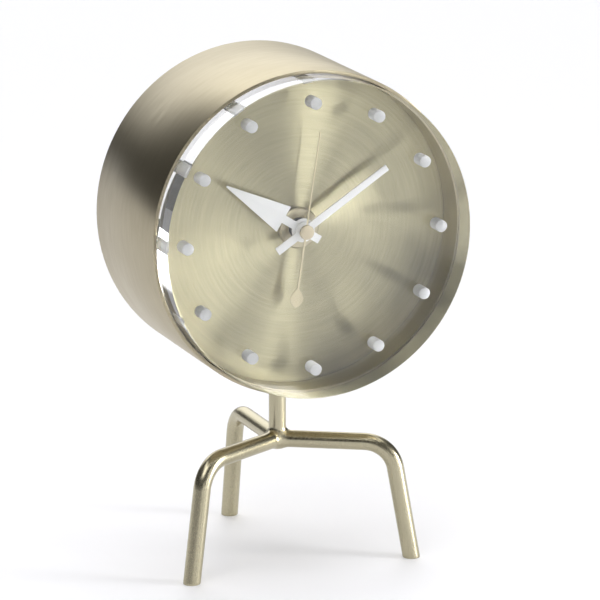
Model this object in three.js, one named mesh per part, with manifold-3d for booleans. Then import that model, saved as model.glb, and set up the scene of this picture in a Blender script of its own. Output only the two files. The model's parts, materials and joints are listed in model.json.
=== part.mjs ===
// A table clock: a brushed brass drum on a stem and three bent rod legs. A thick clear lens
// stands proud of the drum's front and holds twelve white hour pegs. Behind it are a sunk brass
// dial, three hands and a battery movement with its whole wheel train.
//
// Millimetres, +Z up, the dial faces -Y. The origin is on the table, at the centre of the
// clock's own box. Head pieces are drawn as the reader of the dial sees them: X to the right,
// Y up and Z towards the reader, from the plane of the drum's front rim.

import * as THREE from 'three';
import { mergeVertices } from 'three/addons/utils/BufferGeometryUtils.js';
import Module from 'manifold-3d';

const wasm = await Module();
wasm.setup();

// Clearances, the overrun of every cut, and the sides of round pieces
const seatGap = 0.3;
const runningGap = 0.2;
const cutOverrun = 1;
const drumSides = 60;
const ringSides = 44;
const rodSides = 14;
const pegSides = 12;
const nutSides = 30;
const boreSides = 16;
const pinSides = 10;
const bendSteps = 8;
const filletSteps = 2;
const weldDistance = 1e-5;

// Stand: a stem and three legs of one rod, welded at a small hub
const rodRadius = 3.6;
const hubHeight = 49.1;
const stemRise = 27.8;
const hubRadius = 4.6;
const hubRounding = 1.4;
const kneeReach = 47.5;
const footReach = 56.3;
const bendRadius = 13;
const leftLegAngle = 210;
const rightLegAngle = 330;
const backLegAngle = 90;

// Stem fixing, inside the drum
const studRadius = 2.5;
const studLength = 9;
const stemWasherRadius = 5.5;
const stemWasherThickness = 1;
const stemNutRadius = 4.6;
const stemNutHeight = 4;

// Drum
const drumRadius = 67.1;
const drumWall = 1.5;
const drumDepth = 68;
const stemSetback = 35.6;
const boreRadius = drumRadius - drumWall;
const headHeight = hubHeight + stemRise + drumRadius;
const insideRadius = boreRadius - seatGap;
const seatRingThickness = 1.5;
const dialSeatWidth = 3.7;
const coverSeatWidth = 4.7;

// Lens and the hour pegs in its blind holes
const lensThickness = 18.5;
const lensProud = 12.5;
const lensChamfer = 0.4;
const lensBack = lensProud - lensThickness;
const hourCount = 12;
const pegInset = 10.5;
const pegRadius = 2.45;
const pegLength = 11;
const pegPoint = 0.8;
const pegCircleRadius = insideRadius - pegInset;

// Dial, and the ring that holds the lens off it
const dialDepth = 20.3;
const dialThickness = 1;
const dialRingWall = 0.6;

// Threaded neck of the movement, its round nut and its cushion
const neckRadius = 4;
const neckStandOff = 1.6;
const nutRadius = 8.5;
const nutHeight = 2.5;
const nutRecessRadius = 4.9;
const nutRecessDepth = 1.1;
const nutChamfer = 0.5;
const cushionRadius = 12;
const cushionThickness = 1;

// Hands, each measured from the centre of the dial
const handThickness = 0.6;
const hourHandRise = 6.8;
const hourHandDepth = dialDepth - hourHandRise;
const hourTip = 39;
const hourTipWidth = 0.7;
const hourShoulder = 10;
const hourShoulderWidth = 11.6;
const hourNeckWidth = 3.4;
const hourTail = 8.5;
const hourBossRadius = 4.9;
const hourAngle = 302.4;
const minuteHandRise = 8.3;
const minuteHandDepth = dialDepth - minuteHandRise;
const minuteTip = 43;
const minuteTipWidth = 2.7;
const minuteTail = 14;
const minuteTailWidth = 3.3;
const minuteBossRadius = 3.8;
const minuteAngle = 57;
const secondHandRise = 10;
const secondHandDepth = dialDepth - secondHandRise;
const secondHandThickness = 0.3;
const secondTip = 41.5;
const secondTipWidth = 0.45;
const secondRootWidth = 0.9;
const secondTail = 31.5;
const secondBossRadius = 1.8;
const leafLength = 8.3;
const leafWidth = 5.8;
const leafWaistShare = 0.42;
const secondAngle = 8.6;
const hubCapRadius = 3;
const hubCapHeight = 1;
const hubCapChamfer = 0.2;

// Nested centre shafts: the second shaft runs in the minute pipe, and that in the hour pipe
const secondShaftRadius = 0.5;
const pipeWall = 0.75;
const minuteBore = secondShaftRadius + runningGap;
const minutePipeRadius = minuteBore + pipeWall;
const hourBore = minutePipeRadius + runningGap;
const hourPipeRadius = hourBore + pipeWall;
const neckBore = hourPipeRadius + runningGap;
const pipeReach = 0.2;

// Battery and its bay, below the wheels
const cellRadius = 7.25;
const cellLength = 49.2;
const nubRadius = 2.75;
const nubLength = 1.3;
const bayFloor = 0.8;
const bayWall = 1;
const bayBottomWall = 1.8;
const thumbNotchRadius = 7;
const thumbNotchDepth = 6;
const contactThickness = 0.4;
const contactHeight = 11;
const contactBulge = 0.5;
const contactBulgeRadius = 3.2;

// Movement case: as wide as its cell and contacts need, and as high as its bay and its train
const movementCorner = 3;
const frontPlateThickness = 1.6;
const housingDepth = 15;
const housingWall = 1.5;
const innerCorner = 1.5;
const trainRoom = 10.1;
const movementWidth =
	cellLength + nubLength + contactBulge + 2 * (contactThickness + housingWall + 2 * seatGap);
const bayHeight = 2 * (cellRadius + seatGap);
const movementHeight = 2 * (trainRoom + bayWall + bayHeight + bayBottomWall);
const frontPlateFace = dialDepth + dialThickness + cushionThickness + 2 * seatGap;
const frontPlateBack = frontPlateFace + frontPlateThickness;
const housingFace = frontPlateBack + seatGap;
const housingBack = housingFace + housingDepth;

// Wheel train: one layer for each pair of meshing wheels, counted back from the front plate
const layerThickness = 0.9;
const layerGap = 0.45;
const arborRadius = 0.4;
const bearingDepth = 0.8;
const motionDistance = 9.6;
const thirdDistance = 7;
const stepDistance = 7.2;
const rotorDistance = 5.6;
const setShaftRadius = 1.2;
const setShaftRise = 14;
const layerOrder = ['hour', 'minute', 'bridge', 'centre', 'third', 'second', 'step', 'motor'];
const cannonTeeth = 10;
const minuteTeeth = 30;
const minutePinionTeeth = 8;
const hourTeeth = 32;
const setTeeth = 10;
const secondPinionTeeth = 6;
const thirdTeeth = 45;
const thirdPinionTeeth = 6;
const centreTeeth = 48;
const secondTeeth = 40;
const stepPinionTeeth = 8;
const stepTeeth = 36;
const rotorPinionTeeth = 6;
const thirdAngle = 0;
const stepAngle = 150;
const addendumShare = 0.9;
const dedendumShare = 1.3;
const toothShare = 0.8;
const pressureAngle = 20;

// Step motor and circuit
const magnetRadius = 2.4;
const magnetThickness = 1.4;
const airGap = 0.4;
const statorWeb = 0.9;
const statorHeight = 19;
const coilStandOff = 1.9;
const coreWidth = 2;
const yokeWidth = 2.4;
const coilLength = 12.5;
const coilThickness = 5;
const coilCorner = 1.6;
const boardWidth = 20;
const boardHeight = 8;
const chipWidth = 5;
const chipThickness = 1;

// Setting knob
const knobRadius = 6.5;
const knobThickness = 4.5;
const knobFlutes = 18;
const knobFluteDepth = 0.35;

// Spun rear cover, with a well that leaves the back of the movement in reach
const coverWall = 0.8;
const coverInset = 2.5;
const coverFillet = 2.4;
const wellMargin = 3.4;
const wellTaper = 2;
const wellStandOff = 2.5;
const wellFloorRadius = Math.hypot(movementWidth, movementHeight) / 2 + wellMargin;
const wellMouthRadius = wellFloorRadius + wellTaper;
const coverScrewCount = 3;
const coverScrewInset = 2.8;
const coverScrewReach = boreRadius - coverScrewInset;
const screwRadius = 1;
const screwLength = 4.2;
const screwHeadRadius = 2;
const screwHeadHeight = 1.2;
const screwSlotWidth = 0.5;
const screwSlotDepth = 0.6;

// Finishes
const finish = (colour, roughness, metalness) =>
	new THREE.MeshStandardMaterial({ color: new THREE.Color(...colour), roughness, metalness });
const brass = finish([0.62, 0.56, 0.4], 0.32, 1);
const brightBrass = finish([0.75, 0.62, 0.36], 0.25, 1);
const clear = new THREE.MeshStandardMaterial({
	color: 0xf4f8f6,
	roughness: 0.03,
	metalness: 0,
	transparent: true,
	opacity: 0.3,
});
const frosted = finish([0.9, 0.9, 0.88], 0.5, 0);
const whiteLacquer = finish([0.86, 0.87, 0.86], 0.35, 0.1);
const blackPlastic = finish([0.03, 0.03, 0.032], 0.45, 0);
const whitePlastic = finish([0.82, 0.81, 0.77], 0.5, 0);
const rubber = finish([0.05, 0.05, 0.05], 0.85, 0);
const steel = finish([0.58, 0.58, 0.59], 0.3, 1);
const copper = finish([0.62, 0.28, 0.13], 0.35, 0.9);
const boardGreen = finish([0.03, 0.19, 0.08], 0.5, 0);
const cellJacket = finish([0.1, 0.11, 0.12], 0.3, 0.4);

const radians = THREE.MathUtils.degToRad;
const polar = (radius, angle) => new THREE.Vector2(radius * Math.cos(angle), radius * Math.sin(angle));

// Turns a three.js geometry into a solid, with its faces pointing out.
function solid(geometry) {
	const bare = geometry.clone();
	bare.deleteAttribute('normal');
	bare.deleteAttribute('uv');
	const merged = mergeVertices(bare, weldDistance);
	const places = merged.getAttribute('position').array;
	const corners = merged.getIndex().array;
	const kept = [];
	for (let i = 0; i < corners.length; i += 3) {
		const [a, b, c] = [corners[i], corners[i + 1], corners[i + 2]];
		if (a !== b && b !== c && c !== a) {
			kept.push(a, b, c);
		}
	}
	const triVerts = Uint32Array.from(signedVolume(places, kept) < 0 ? kept.reverse() : kept);
	return new wasm.Manifold(new wasm.Mesh({ numProp: 3, vertProperties: Float32Array.from(places), triVerts }));
}

function signedVolume(places, corners) {
	const at = (index) => new THREE.Vector3().fromArray(places, 3 * index);
	let sum = 0;
	for (let i = 0; i < corners.length; i += 3) {
		sum += at(corners[i]).dot(at(corners[i + 1]).cross(at(corners[i + 2])));
	}
	return sum / 6;
}

// Turns a solid back into a three.js geometry.
function geometryOf(body) {
	const { vertProperties, triVerts } = body.getMesh();
	const geometry = new THREE.BufferGeometry();
	geometry.setAttribute('position', new THREE.BufferAttribute(vertProperties, 3));
	geometry.setIndex(new THREE.BufferAttribute(triVerts, 1));
	return geometry;
}

const at = (body, { x, y }) => body.translate([x, y, 0]);
const joined = (...bodies) => bodies.reduce((whole, body) => whole.add(body));
const cut = (body, ...tools) => tools.reduce((left, tool) => left.subtract(tool), body);

// Revolves a closed profile of [radius, height] points round the Z axis.
function turned(points, sides) {
	const profile = [...points, points[0]].map(([radius, height]) => new THREE.Vector2(radius, height));
	return solid(new THREE.LatheGeometry(profile, sides).rotateX(Math.PI / 2));
}

// Revolves a profile that begins and ends on the Z axis.
function turnedSolid(points, sides) {
	const profile = points.map(([radius, height]) => new THREE.Vector2(radius, height));
	return solid(new THREE.LatheGeometry(profile, sides).rotateX(Math.PI / 2));
}

const rod = (radius, low, high, sides = boreSides) =>
	turnedSolid([[0, low], [radius, low], [radius, high], [0, high]], sides);

const tube = (inner, outer, low, high, sides = boreSides) =>
	turned([[inner, low], [outer, low], [outer, high], [inner, high]], sides);

// Extrudes a flat outline from one height to another along Z.
function plate(outline, low, high) {
	const options = { depth: high - low, bevelEnabled: false, curveSegments: filletSteps };
	return solid(new THREE.ExtrudeGeometry(outline, options).translate(0, 0, low));
}

// A rectangle with rounded corners, from its left and lower edges to its right and upper ones.
function roundedRectangle(left, lower, right, upper, corner) {
	const outline = new THREE.Shape();
	outline.absarc(right - corner, upper - corner, corner, 0, Math.PI / 2);
	outline.absarc(left + corner, upper - corner, corner, Math.PI / 2, Math.PI);
	outline.absarc(left + corner, lower + corner, corner, Math.PI, 1.5 * Math.PI);
	outline.absarc(right - corner, lower + corner, corner, 1.5 * Math.PI, 2 * Math.PI);
	return outline;
}

const box = (left, lower, right, upper, low, high) =>
	plate(new THREE.Shape(cornersOf(left, lower, right, upper)), low, high);

const cornersOf = (left, lower, right, upper) => [
	new THREE.Vector2(left, lower),
	new THREE.Vector2(right, lower),
	new THREE.Vector2(right, upper),
	new THREE.Vector2(left, upper),
];

// Adds one named piece to a group.
function piece(group, name, body, material) {
	const mesh = new THREE.Mesh(geometryOf(body), material);
	mesh.name = name;
	group.add(mesh);
	return mesh;
}

// Stand

// The bend of a leg: its centre line seen from the side, as [distance from the stem, height].
function legLine() {
	const drop = Math.atan2(hubHeight, footReach - kneeReach);
	const bendStart = kneeReach - bendRadius * Math.tan(drop / 2);
	const line = [[0, hubHeight]];
	for (let step = 0; step <= bendSteps; step++) {
		const angle = Math.PI / 2 - (drop * step) / bendSteps;
		line.push([bendStart + bendRadius * Math.cos(angle), hubHeight + bendRadius * (Math.sin(angle) - 1)]);
	}
	line.push([footReach, 0]);
	return line;
}

// Sweeps the rod's round section along a line in the XZ plane. Each ring lies in the plane that
// halves the bend there, and the last ring lies flat on the table.
function bentRod(line) {
	const at = line.map(([reach, height]) => new THREE.Vector3(reach, 0, height));
	const runs = at.slice(1).map((end, i) => end.clone().sub(at[i]).normalize());
	const places = [];
	at.forEach((centre, i) => {
		const along = runs[Math.min(i, runs.length - 1)];
		const last = i === at.length - 1;
		const normal = last ? new THREE.Vector3(0, 0, 1) : along.clone().add(runs[Math.max(i - 1, 0)]);
		const across = new THREE.Vector3(along.z, 0, -along.x);
		for (let side = 0; side < rodSides; side++) {
			const { x, y } = polar(rodRadius, (2 * Math.PI * side) / rodSides);
			const offset = new THREE.Vector3(0, x, 0).addScaledVector(across, y);
			offset.addScaledVector(along, -offset.dot(normal) / along.dot(normal));
			places.push(...offset.add(centre).toArray());
		}
	});
	const corners = [];
	const ring = (i, side) => i * rodSides + (side % rodSides);
	for (let side = 0; side < rodSides; side++) {
		for (let i = 0; i < runs.length; i++) {
			corners.push(ring(i, side), ring(i + 1, side), ring(i + 1, side + 1));
			corners.push(ring(i, side), ring(i + 1, side + 1), ring(i, side + 1));
		}
		if (side > 1) {
			corners.push(ring(0, 0), ring(0, side - 1), ring(0, side));
			corners.push(ring(runs.length, 0), ring(runs.length, side), ring(runs.length, side - 1));
		}
	}
	const geometry = new THREE.BufferGeometry();
	geometry.setAttribute('position', new THREE.Float32BufferAttribute(places, 3));
	geometry.setIndex(corners);
	return solid(geometry);
}

function buildStand() {
	const stand = new THREE.Group();
	const stemTop = headHeight - drumRadius - seatGap;
	const hubTop = hubHeight + rodRadius;
	const hubBottom = hubHeight - rodRadius;
	const stem = turnedSolid([
		[0, hubBottom],
		[hubRadius - hubRounding, hubBottom],
		[hubRadius, hubBottom + hubRounding],
		[hubRadius, hubTop - hubRounding],
		[rodRadius, hubTop + hubRounding],
		[rodRadius, stemTop],
		[studRadius, stemTop],
		[studRadius, stemTop + studLength],
		[0, stemTop + studLength],
	], boreSides);
	piece(stand, 'stem', stem, brass);

	const hubRoom = rod(hubRadius + seatGap, hubBottom - cutOverrun, hubTop + hubRounding + cutOverrun);
	const legAngles = { left: leftLegAngle, right: rightLegAngle, back: backLegAngle };
	for (const [side, angle] of Object.entries(legAngles)) {
		const leg = piece(stand, `leg_${side}`, cut(bentRod(legLine()), hubRoom), brass);
		leg.rotation.z = radians(angle);
	}

	const boreDrop = boreRadius - Math.sqrt(boreRadius ** 2 - stemWasherRadius ** 2);
	const washerLow = headHeight - boreRadius + boreDrop + seatGap;
	const nutLow = washerLow + stemWasherThickness + seatGap;
	const washer = tube(studRadius + seatGap, stemWasherRadius, washerLow, washerLow + stemWasherThickness);
	piece(stand, 'stem_washer', washer, steel);
	const nutBlank = rod(stemNutRadius, nutLow, nutLow + stemNutHeight, 6);
	const nutBore = rod(studRadius + seatGap, nutLow - cutOverrun, nutLow + stemNutHeight + cutOverrun);
	piece(stand, 'stem_nut', cut(nutBlank, nutBore), steel);
	return stand;
}

// Drum, lens, dial and rear cover

const coverBack = coverInset - drumDepth;
const coverFace = coverBack + coverWall;
const coverScrewPlaces = Array.from({ length: coverScrewCount }, (_, i) =>
	polar(coverScrewReach, Math.PI / 2 + (2 * Math.PI * i) / coverScrewCount));

const coverScrewHoles = (low, high) =>
	coverScrewPlaces.map((place) => at(rod(screwRadius + seatGap, low, high, pinSides), place));

function buildDrumShell() {
	const shell = tube(boreRadius, drumRadius, -drumDepth, 0, drumSides);
	const stemHole = rod(studRadius + seatGap, boreRadius - cutOverrun, drumRadius + cutOverrun)
		.rotate([90, 0, 0])
		.translate([0, 0, -stemSetback]);
	return cut(shell, stemHole);
}

// A flat ring soldered into the drum: one carries the dial and one takes the cover's screws.
const seatRing = (width, low) =>
	tube(insideRadius - width, insideRadius, low, low + seatRingThickness, ringSides);

const buildDialSeat = () =>
	seatRing(dialSeatWidth, -dialDepth - dialThickness - seatGap - seatRingThickness);

function buildCoverSeat() {
	const low = coverFace + seatGap;
	return cut(
		seatRing(coverSeatWidth, low),
		...coverScrewHoles(low - cutOverrun, low + seatRingThickness + cutOverrun),
	);
}

const hourPlaces = Array.from({ length: hourCount }, (_, i) =>
	polar(pegCircleRadius, Math.PI / 2 - (2 * Math.PI * (i + 1)) / hourCount));

// A peg, or the hole that it sits in when there is play round it. Its front end is a drill point.
function pegBody(play, back) {
	const point = lensBack + pegLength + play;
	const shoulder = point - pegPoint;
	return turnedSolid([
		[0, back],
		[pegRadius + play, back],
		[pegRadius + play, shoulder],
		[0, point],
	], pegSides);
}

function buildLens() {
	const disc = turnedSolid([
		[0, lensBack],
		[insideRadius, lensBack],
		[insideRadius, lensProud - lensChamfer],
		[insideRadius - lensChamfer, lensProud],
		[0, lensProud],
	], drumSides);
	const holes = hourPlaces.map((place) => at(pegBody(seatGap, lensBack - cutOverrun), place));
	return cut(disc, ...holes);
}

// A quarter round between two faces, as [radius, height] points.
function filletPoints(centreRadius, centreHeight, radius, from, to) {
	return Array.from({ length: filletSteps + 1 }, (_, i) => {
		const { x, y } = polar(radius, radians(from + ((to - from) * i) / filletSteps));
		return [centreRadius + x, centreHeight + y];
	});
}

// The movement case seen from the front, or the window that it sits in when there is play round it.
function caseOutline(play) {
	const across = movementWidth / 2 + play;
	const up = movementHeight / 2 + play;
	return roundedRectangle(-across, -up, across, up, movementCorner + play);
}

function buildRearCover() {
	const wellFloor = wellStandOff - housingBack;
	const mouth = wellMouthRadius + coverFillet;
	const cover = turnedSolid([
		[0, wellFloor],
		[wellFloorRadius, wellFloor],
		...filletPoints(mouth, coverBack + coverFillet, coverFillet, 180, 270),
		[insideRadius, coverBack],
		[insideRadius, coverFace],
		...filletPoints(mouth, coverBack + coverFillet, coverFillet - coverWall, 270, 180),
		[wellFloorRadius + coverWall, wellFloor + coverWall],
		[0, wellFloor + coverWall],
	], ringSides);
	const window = plate(
		caseOutline(seatGap),
		wellFloor - cutOverrun,
		wellFloor + coverWall + cutOverrun,
	);
	return cut(cover, window, ...coverScrewHoles(coverBack - cutOverrun, coverFace + cutOverrun));
}

function buildCoverScrew(place) {
	const seat = coverBack - seatGap;
	const slotLow = seat - screwHeadHeight - cutOverrun;
	const slotHigh = seat - screwHeadHeight + screwSlotDepth;
	const head = rod(screwHeadRadius, seat - screwHeadHeight, seat, pinSides);
	const shank = rod(screwRadius, seat - screwSlotWidth, seat + screwLength, pinSides);
	const half = screwSlotWidth / 2;
	const slot = box(-screwHeadRadius, -half, screwHeadRadius, half, slotLow, slotHigh);
	return at(cut(joined(head, shank), slot, slot.rotate([0, 0, 90])), place);
}

// Hands, drawn pointing to twelve

const bossHole = (pipeRadius, depth) =>
	rod(pipeRadius + runningGap, -depth - handThickness - cutOverrun, -depth + cutOverrun);

function handPlate(points, depth, thickness) {
	const outline = new THREE.Shape(points.map(([x, y]) => new THREE.Vector2(x, y)));
	return plate(outline, -depth - thickness, -depth);
}

function buildHourHand() {
	const neck = hourNeckWidth / 2;
	const outline = [
		[-neck, -hourTail],
		[neck, -hourTail],
		[neck, hourShoulder],
		[hourShoulderWidth / 2, hourShoulder],
		[hourTipWidth / 2, hourTip],
		[-hourTipWidth / 2, hourTip],
		[-hourShoulderWidth / 2, hourShoulder],
		[-neck, hourShoulder],
	];
	const blade = handPlate(outline, hourHandDepth, handThickness);
	const boss = rod(hourBossRadius, -hourHandDepth - handThickness, -hourHandDepth);
	return cut(joined(blade, boss), bossHole(hourPipeRadius, hourHandDepth));
}

function buildMinuteHand() {
	const outline = [
		[-minuteTailWidth / 2, -minuteTail],
		[minuteTailWidth / 2, -minuteTail],
		[minuteTipWidth / 2, minuteTip],
		[-minuteTipWidth / 2, minuteTip],
	];
	const blade = handPlate(outline, minuteHandDepth, handThickness);
	const boss = rod(minuteBossRadius, -minuteHandDepth - handThickness, -minuteHandDepth);
	return cut(joined(blade, boss), bossHole(minutePipeRadius, minuteHandDepth));
}

function buildSecondHand() {
	const outline = [
		[-secondRootWidth / 2, leafLength / 2 - secondTail],
		[secondRootWidth / 2, leafLength / 2 - secondTail],
		[secondTipWidth / 2, secondTip],
		[-secondTipWidth / 2, secondTip],
	];
	const needle = handPlate(outline, secondHandDepth, secondHandThickness);
	const leaf = new THREE.Shape();
	const waist = leafLength * leafWaistShare - secondTail;
	leaf.moveTo(0, -secondTail);
	leaf.bezierCurveTo(leafWidth / 4, waist, leafWidth / 2, waist, leafWidth / 2, leafLength / 2 - secondTail);
	leaf.quadraticCurveTo(leafWidth / 2, leafLength - secondTail, 0, leafLength - secondTail);
	leaf.quadraticCurveTo(-leafWidth / 2, leafLength - secondTail, -leafWidth / 2, leafLength / 2 - secondTail);
	leaf.bezierCurveTo(-leafWidth / 2, waist, -leafWidth / 4, waist, 0, -secondTail);
	const weight = plate(leaf, -secondHandDepth - secondHandThickness, -secondHandDepth);
	const boss = rod(secondBossRadius, -secondHandDepth - secondHandThickness, -secondHandDepth);
	const holeRadius = secondShaftRadius + runningGap / 2;
	const hole = rod(holeRadius, -secondHandDepth - cutOverrun, cutOverrun - secondHandDepth);
	return cut(joined(needle, weight, boss), hole);
}

// Movement: wheel outlines

// A wheel of involute teeth. The first tooth points along +X before the wheel is turned.
function wheelOutline(count, module) {
	const pitch = (count * module) / 2;
	const base = pitch * Math.cos(radians(pressureAngle));
	const involute = (angle) => Math.tan(angle) - angle;
	const halfAtPitch = (Math.PI / (2 * count)) * toothShare;
	const halfAt = (radius) =>
		halfAtPitch + involute(radians(pressureAngle)) - involute(Math.acos(Math.min(1, base / radius)));
	const radii = [pitch - dedendumShare * module, pitch + addendumShare * module];
	const points = [];
	for (let tooth = 0; tooth < count; tooth++) {
		const middle = (2 * Math.PI * tooth) / count;
		for (const radius of radii) {
			points.push(polar(radius, middle - halfAt(radius)));
		}
		for (const radius of radii.toReversed()) {
			points.push(polar(radius, middle + halfAt(radius)));
		}
	}
	return new THREE.Shape(points);
}

// The heights of a layer of the train.
function layer(name) {
	const high = -frontPlateBack - layerGap - layerOrder.indexOf(name) * (layerThickness + layerGap);
	return { low: high - layerThickness, high };
}

// A wheel in its layer. A pinion runs on into the layer behind it, where its own wheel is.
function wheel(count, module, name, turn = 0, reach = 0) {
	const { low, high } = layer(name);
	const outline = wheelOutline(count, module);
	return plate(outline, low - reach, high).rotate([0, 0, THREE.MathUtils.radToDeg(turn)]);
}

// The turn that puts a wheel's tooth space on the line of centres, where its partner has a tooth.
// Partner: its place, tooth count and turn. A tooth of the partner is carried onto the line.
function meshTurn(count, place, partner) {
	const away = Math.atan2(place.y - partner.place.y, place.x - partner.place.x);
	const partnerPitch = (2 * Math.PI) / partner.count;
	const lead = (away - partner.turn) / partnerPitch;
	const offLine = (Math.round(lead) - lead) * partnerPitch;
	return away + Math.PI + Math.PI / count - (offLine * partner.count) / count;
}

const centre = new THREE.Vector2(0, 0);
const setPlace = new THREE.Vector2(0, setShaftRise);
const minuteRise = setShaftRise / 2;
const minutePlace = new THREE.Vector2(Math.sqrt(motionDistance ** 2 - minuteRise ** 2), minuteRise);
const thirdPlace = polar(thirdDistance, radians(thirdAngle));
const stepPlace = polar(stepDistance, radians(stepAngle));
const rotorPlace = polar(stepDistance + rotorDistance, radians(stepAngle));
const moduleFor = (distance, first, second) => (2 * distance) / (first + second);
const minuteModule = moduleFor(motionDistance, cannonTeeth, minuteTeeth);
const hourModule = moduleFor(motionDistance, minutePinionTeeth, hourTeeth);
const thirdModule = moduleFor(thirdDistance, secondPinionTeeth, thirdTeeth);
const centreModule = moduleFor(thirdDistance, thirdPinionTeeth, centreTeeth);
const stepModule = moduleFor(stepDistance, secondTeeth, stepPinionTeeth);
const rotorModule = moduleFor(rotorDistance, stepTeeth, rotorPinionTeeth);

const housingInside = housingWall - housingBack;
const middlePlate = layer('bridge');
const bayTop = -trainRoom - bayWall;
const bayMiddle = bayTop - bayHeight / 2;
const chamber = {
	left: housingWall - movementWidth / 2,
	lower: -trainRoom,
	right: movementWidth / 2 - housingWall,
	upper: movementHeight / 2 - housingWall,
};

// An arbor's bearing: a hole round the pivot, through a plate or sunk into it.
const bearing = ({ x, y }, low, high, radius = arborRadius) =>
	rod(radius + runningGap, low, high, pinSides).translate([x, y, 0]);

function buildFrontPlate() {
	const sheet = plate(caseOutline(0), -frontPlateBack, -frontPlateFace);
	const neckTop = neckStandOff - dialDepth;
	const neck = rod(neckRadius, -frontPlateBack, neckTop);
	const bore = rod(neckBore, -frontPlateBack - cutOverrun, neckTop + cutOverrun);
	const sunk = [-frontPlateBack - cutOverrun, bearingDepth - frontPlateBack];
	return cut(
		joined(sheet, neck),
		bore,
		bearing(minutePlace, ...sunk),
		bearing(setPlace, ...sunk, setShaftRadius),
	);
}

function buildMiddlePlate() {
	const { left, lower, right, upper } = chamber;
	const edges = [left + seatGap, lower + seatGap, right - seatGap, upper - seatGap];
	const outline = roundedRectangle(...edges, innerCorner);
	const through = [middlePlate.low - cutOverrun, middlePlate.high + cutOverrun];
	return cut(
		plate(outline, middlePlate.low, middlePlate.high),
		bearing(centre, ...through, minutePipeRadius),
		bearing(setPlace, ...through, setShaftRadius),
		...[minutePlace, thirdPlace, stepPlace, rotorPlace].map((place) => bearing(place, ...through)),
	);
}

function buildHousing() {
	const block = plate(caseOutline(0), -housingBack, -housingFace);
	const { left, lower, right, upper } = chamber;
	const roomOutline = roundedRectangle(left, lower, right, upper, innerCorner);
	const room = plate(roomOutline, housingInside, cutOverrun - housingFace);
	const bayHigh = -housingFace - bayFloor;
	const bay = box(left, bayTop - bayHeight, right, bayTop, -housingBack - cutOverrun, bayHigh);
	const notch = rod(thumbNotchRadius, -housingBack - cutOverrun, thumbNotchDepth - housingBack)
		.translate([0, -movementHeight / 2, 0]);
	const sunk = [housingInside - bearingDepth, housingInside + cutOverrun];
	return cut(
		block,
		room,
		bay,
		notch,
		bearing(centre, ...sunk, secondShaftRadius),
		...[thirdPlace, stepPlace, rotorPlace].map((place) => bearing(place, ...sunk)),
		bearing(setPlace, -housingBack - cutOverrun, housingInside + cutOverrun, setShaftRadius),
	);
}

// Motion work: minute pipe, minute wheel, hour wheel and setting shaft

const cannonPlace = { place: centre, count: cannonTeeth, turn: 0 };
const minuteTurn = meshTurn(minuteTeeth, minutePlace, cannonPlace);
const minuteWheelPlace = { place: minutePlace, count: minuteTeeth, turn: minuteTurn };
const minutePinionPlace = { place: minutePlace, count: minutePinionTeeth, turn: 0 };
const hourTurn = meshTurn(hourTeeth, centre, minutePinionPlace);
const setTurn = meshTurn(setTeeth, setPlace, minuteWheelPlace);
const plateSink = bearingDepth - runningGap;
const frontPivot = plateSink - frontPlateBack;
const rearPivot = housingInside - plateSink;
const pinionReach = layerGap + layerThickness / 2;

function buildHourWheel() {
	const { low } = layer('hour');
	const pipeTop = -hourHandDepth + pipeReach;
	const blank = joined(wheel(hourTeeth, hourModule, 'hour', hourTurn), rod(hourPipeRadius, low, pipeTop));
	return cut(blank, rod(hourBore, low - cutOverrun, pipeTop + cutOverrun));
}

function buildMinutePipe() {
	const { low } = layer('centre');
	const pipeTop = -minuteHandDepth + pipeReach;
	const blank = joined(wheel(cannonTeeth, minuteModule, 'minute'), rod(minutePipeRadius, low, pipeTop));
	return cut(blank, rod(minuteBore, low - cutOverrun, pipeTop + cutOverrun));
}

function buildMinuteWheel() {
	const minuteWheel = wheel(minuteTeeth, minuteModule, 'minute', minuteTurn);
	const pinion = wheel(minutePinionTeeth, hourModule, 'hour', 0, pinionReach);
	const arbor = rod(arborRadius, middlePlate.low, frontPivot, pinSides);
	return at(joined(minuteWheel, pinion, arbor), minutePlace);
}

const knobFace = -housingBack - seatGap;

function buildSetShaft() {
	const shaft = rod(setShaftRadius, knobFace - knobThickness / 2, frontPivot, rodSides);
	return at(joined(wheel(setTeeth, minuteModule, 'minute', setTurn), shaft), setPlace);
}

function buildSetKnob() {
	const points = [];
	const count = 2 * knobFlutes;
	for (let i = 0; i < count; i++) {
		points.push(polar(knobRadius - (i % 2) * knobFluteDepth, (2 * Math.PI * i) / count));
	}
	const grip = plate(new THREE.Shape(points), knobFace - knobThickness, knobFace);
	const socketEnd = knobFace - knobThickness / 2 - runningGap;
	const socket = rod(setShaftRadius + runningGap / 2, socketEnd, knobFace + cutOverrun);
	return at(cut(grip, socket), setPlace);
}

// Going train: rotor, step wheel, second wheel, third wheel and centre wheel

const thirdPinionPlace = { place: thirdPlace, count: thirdPinionTeeth, turn: 0 };
const secondPinionPlace = { place: centre, count: secondPinionTeeth, turn: 0 };
const centreTurn = meshTurn(centreTeeth, centre, thirdPinionPlace);
const thirdTurn = meshTurn(thirdTeeth, thirdPlace, secondPinionPlace);
const secondWheelPlace = { place: centre, count: secondTeeth, turn: 0 };
const stepPinionTurn = meshTurn(stepPinionTeeth, stepPlace, secondWheelPlace);
const stepWheelPlace = { place: stepPlace, count: stepTeeth, turn: 0 };
const rotorTurn = meshTurn(rotorPinionTeeth, rotorPlace, stepWheelPlace);

function buildCentreWheel() {
	const { low, high } = layer('centre');
	const bore = rod(minutePipeRadius + runningGap, low - cutOverrun, high + cutOverrun);
	return cut(wheel(centreTeeth, centreModule, 'centre', centreTurn), bore);
}

function buildThirdWheel() {
	const pinion = wheel(thirdPinionTeeth, centreModule, 'centre', 0, pinionReach);
	const arbor = rod(arborRadius, rearPivot, middlePlate.high, pinSides);
	return at(joined(wheel(thirdTeeth, thirdModule, 'third', thirdTurn), pinion, arbor), thirdPlace);
}

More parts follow.
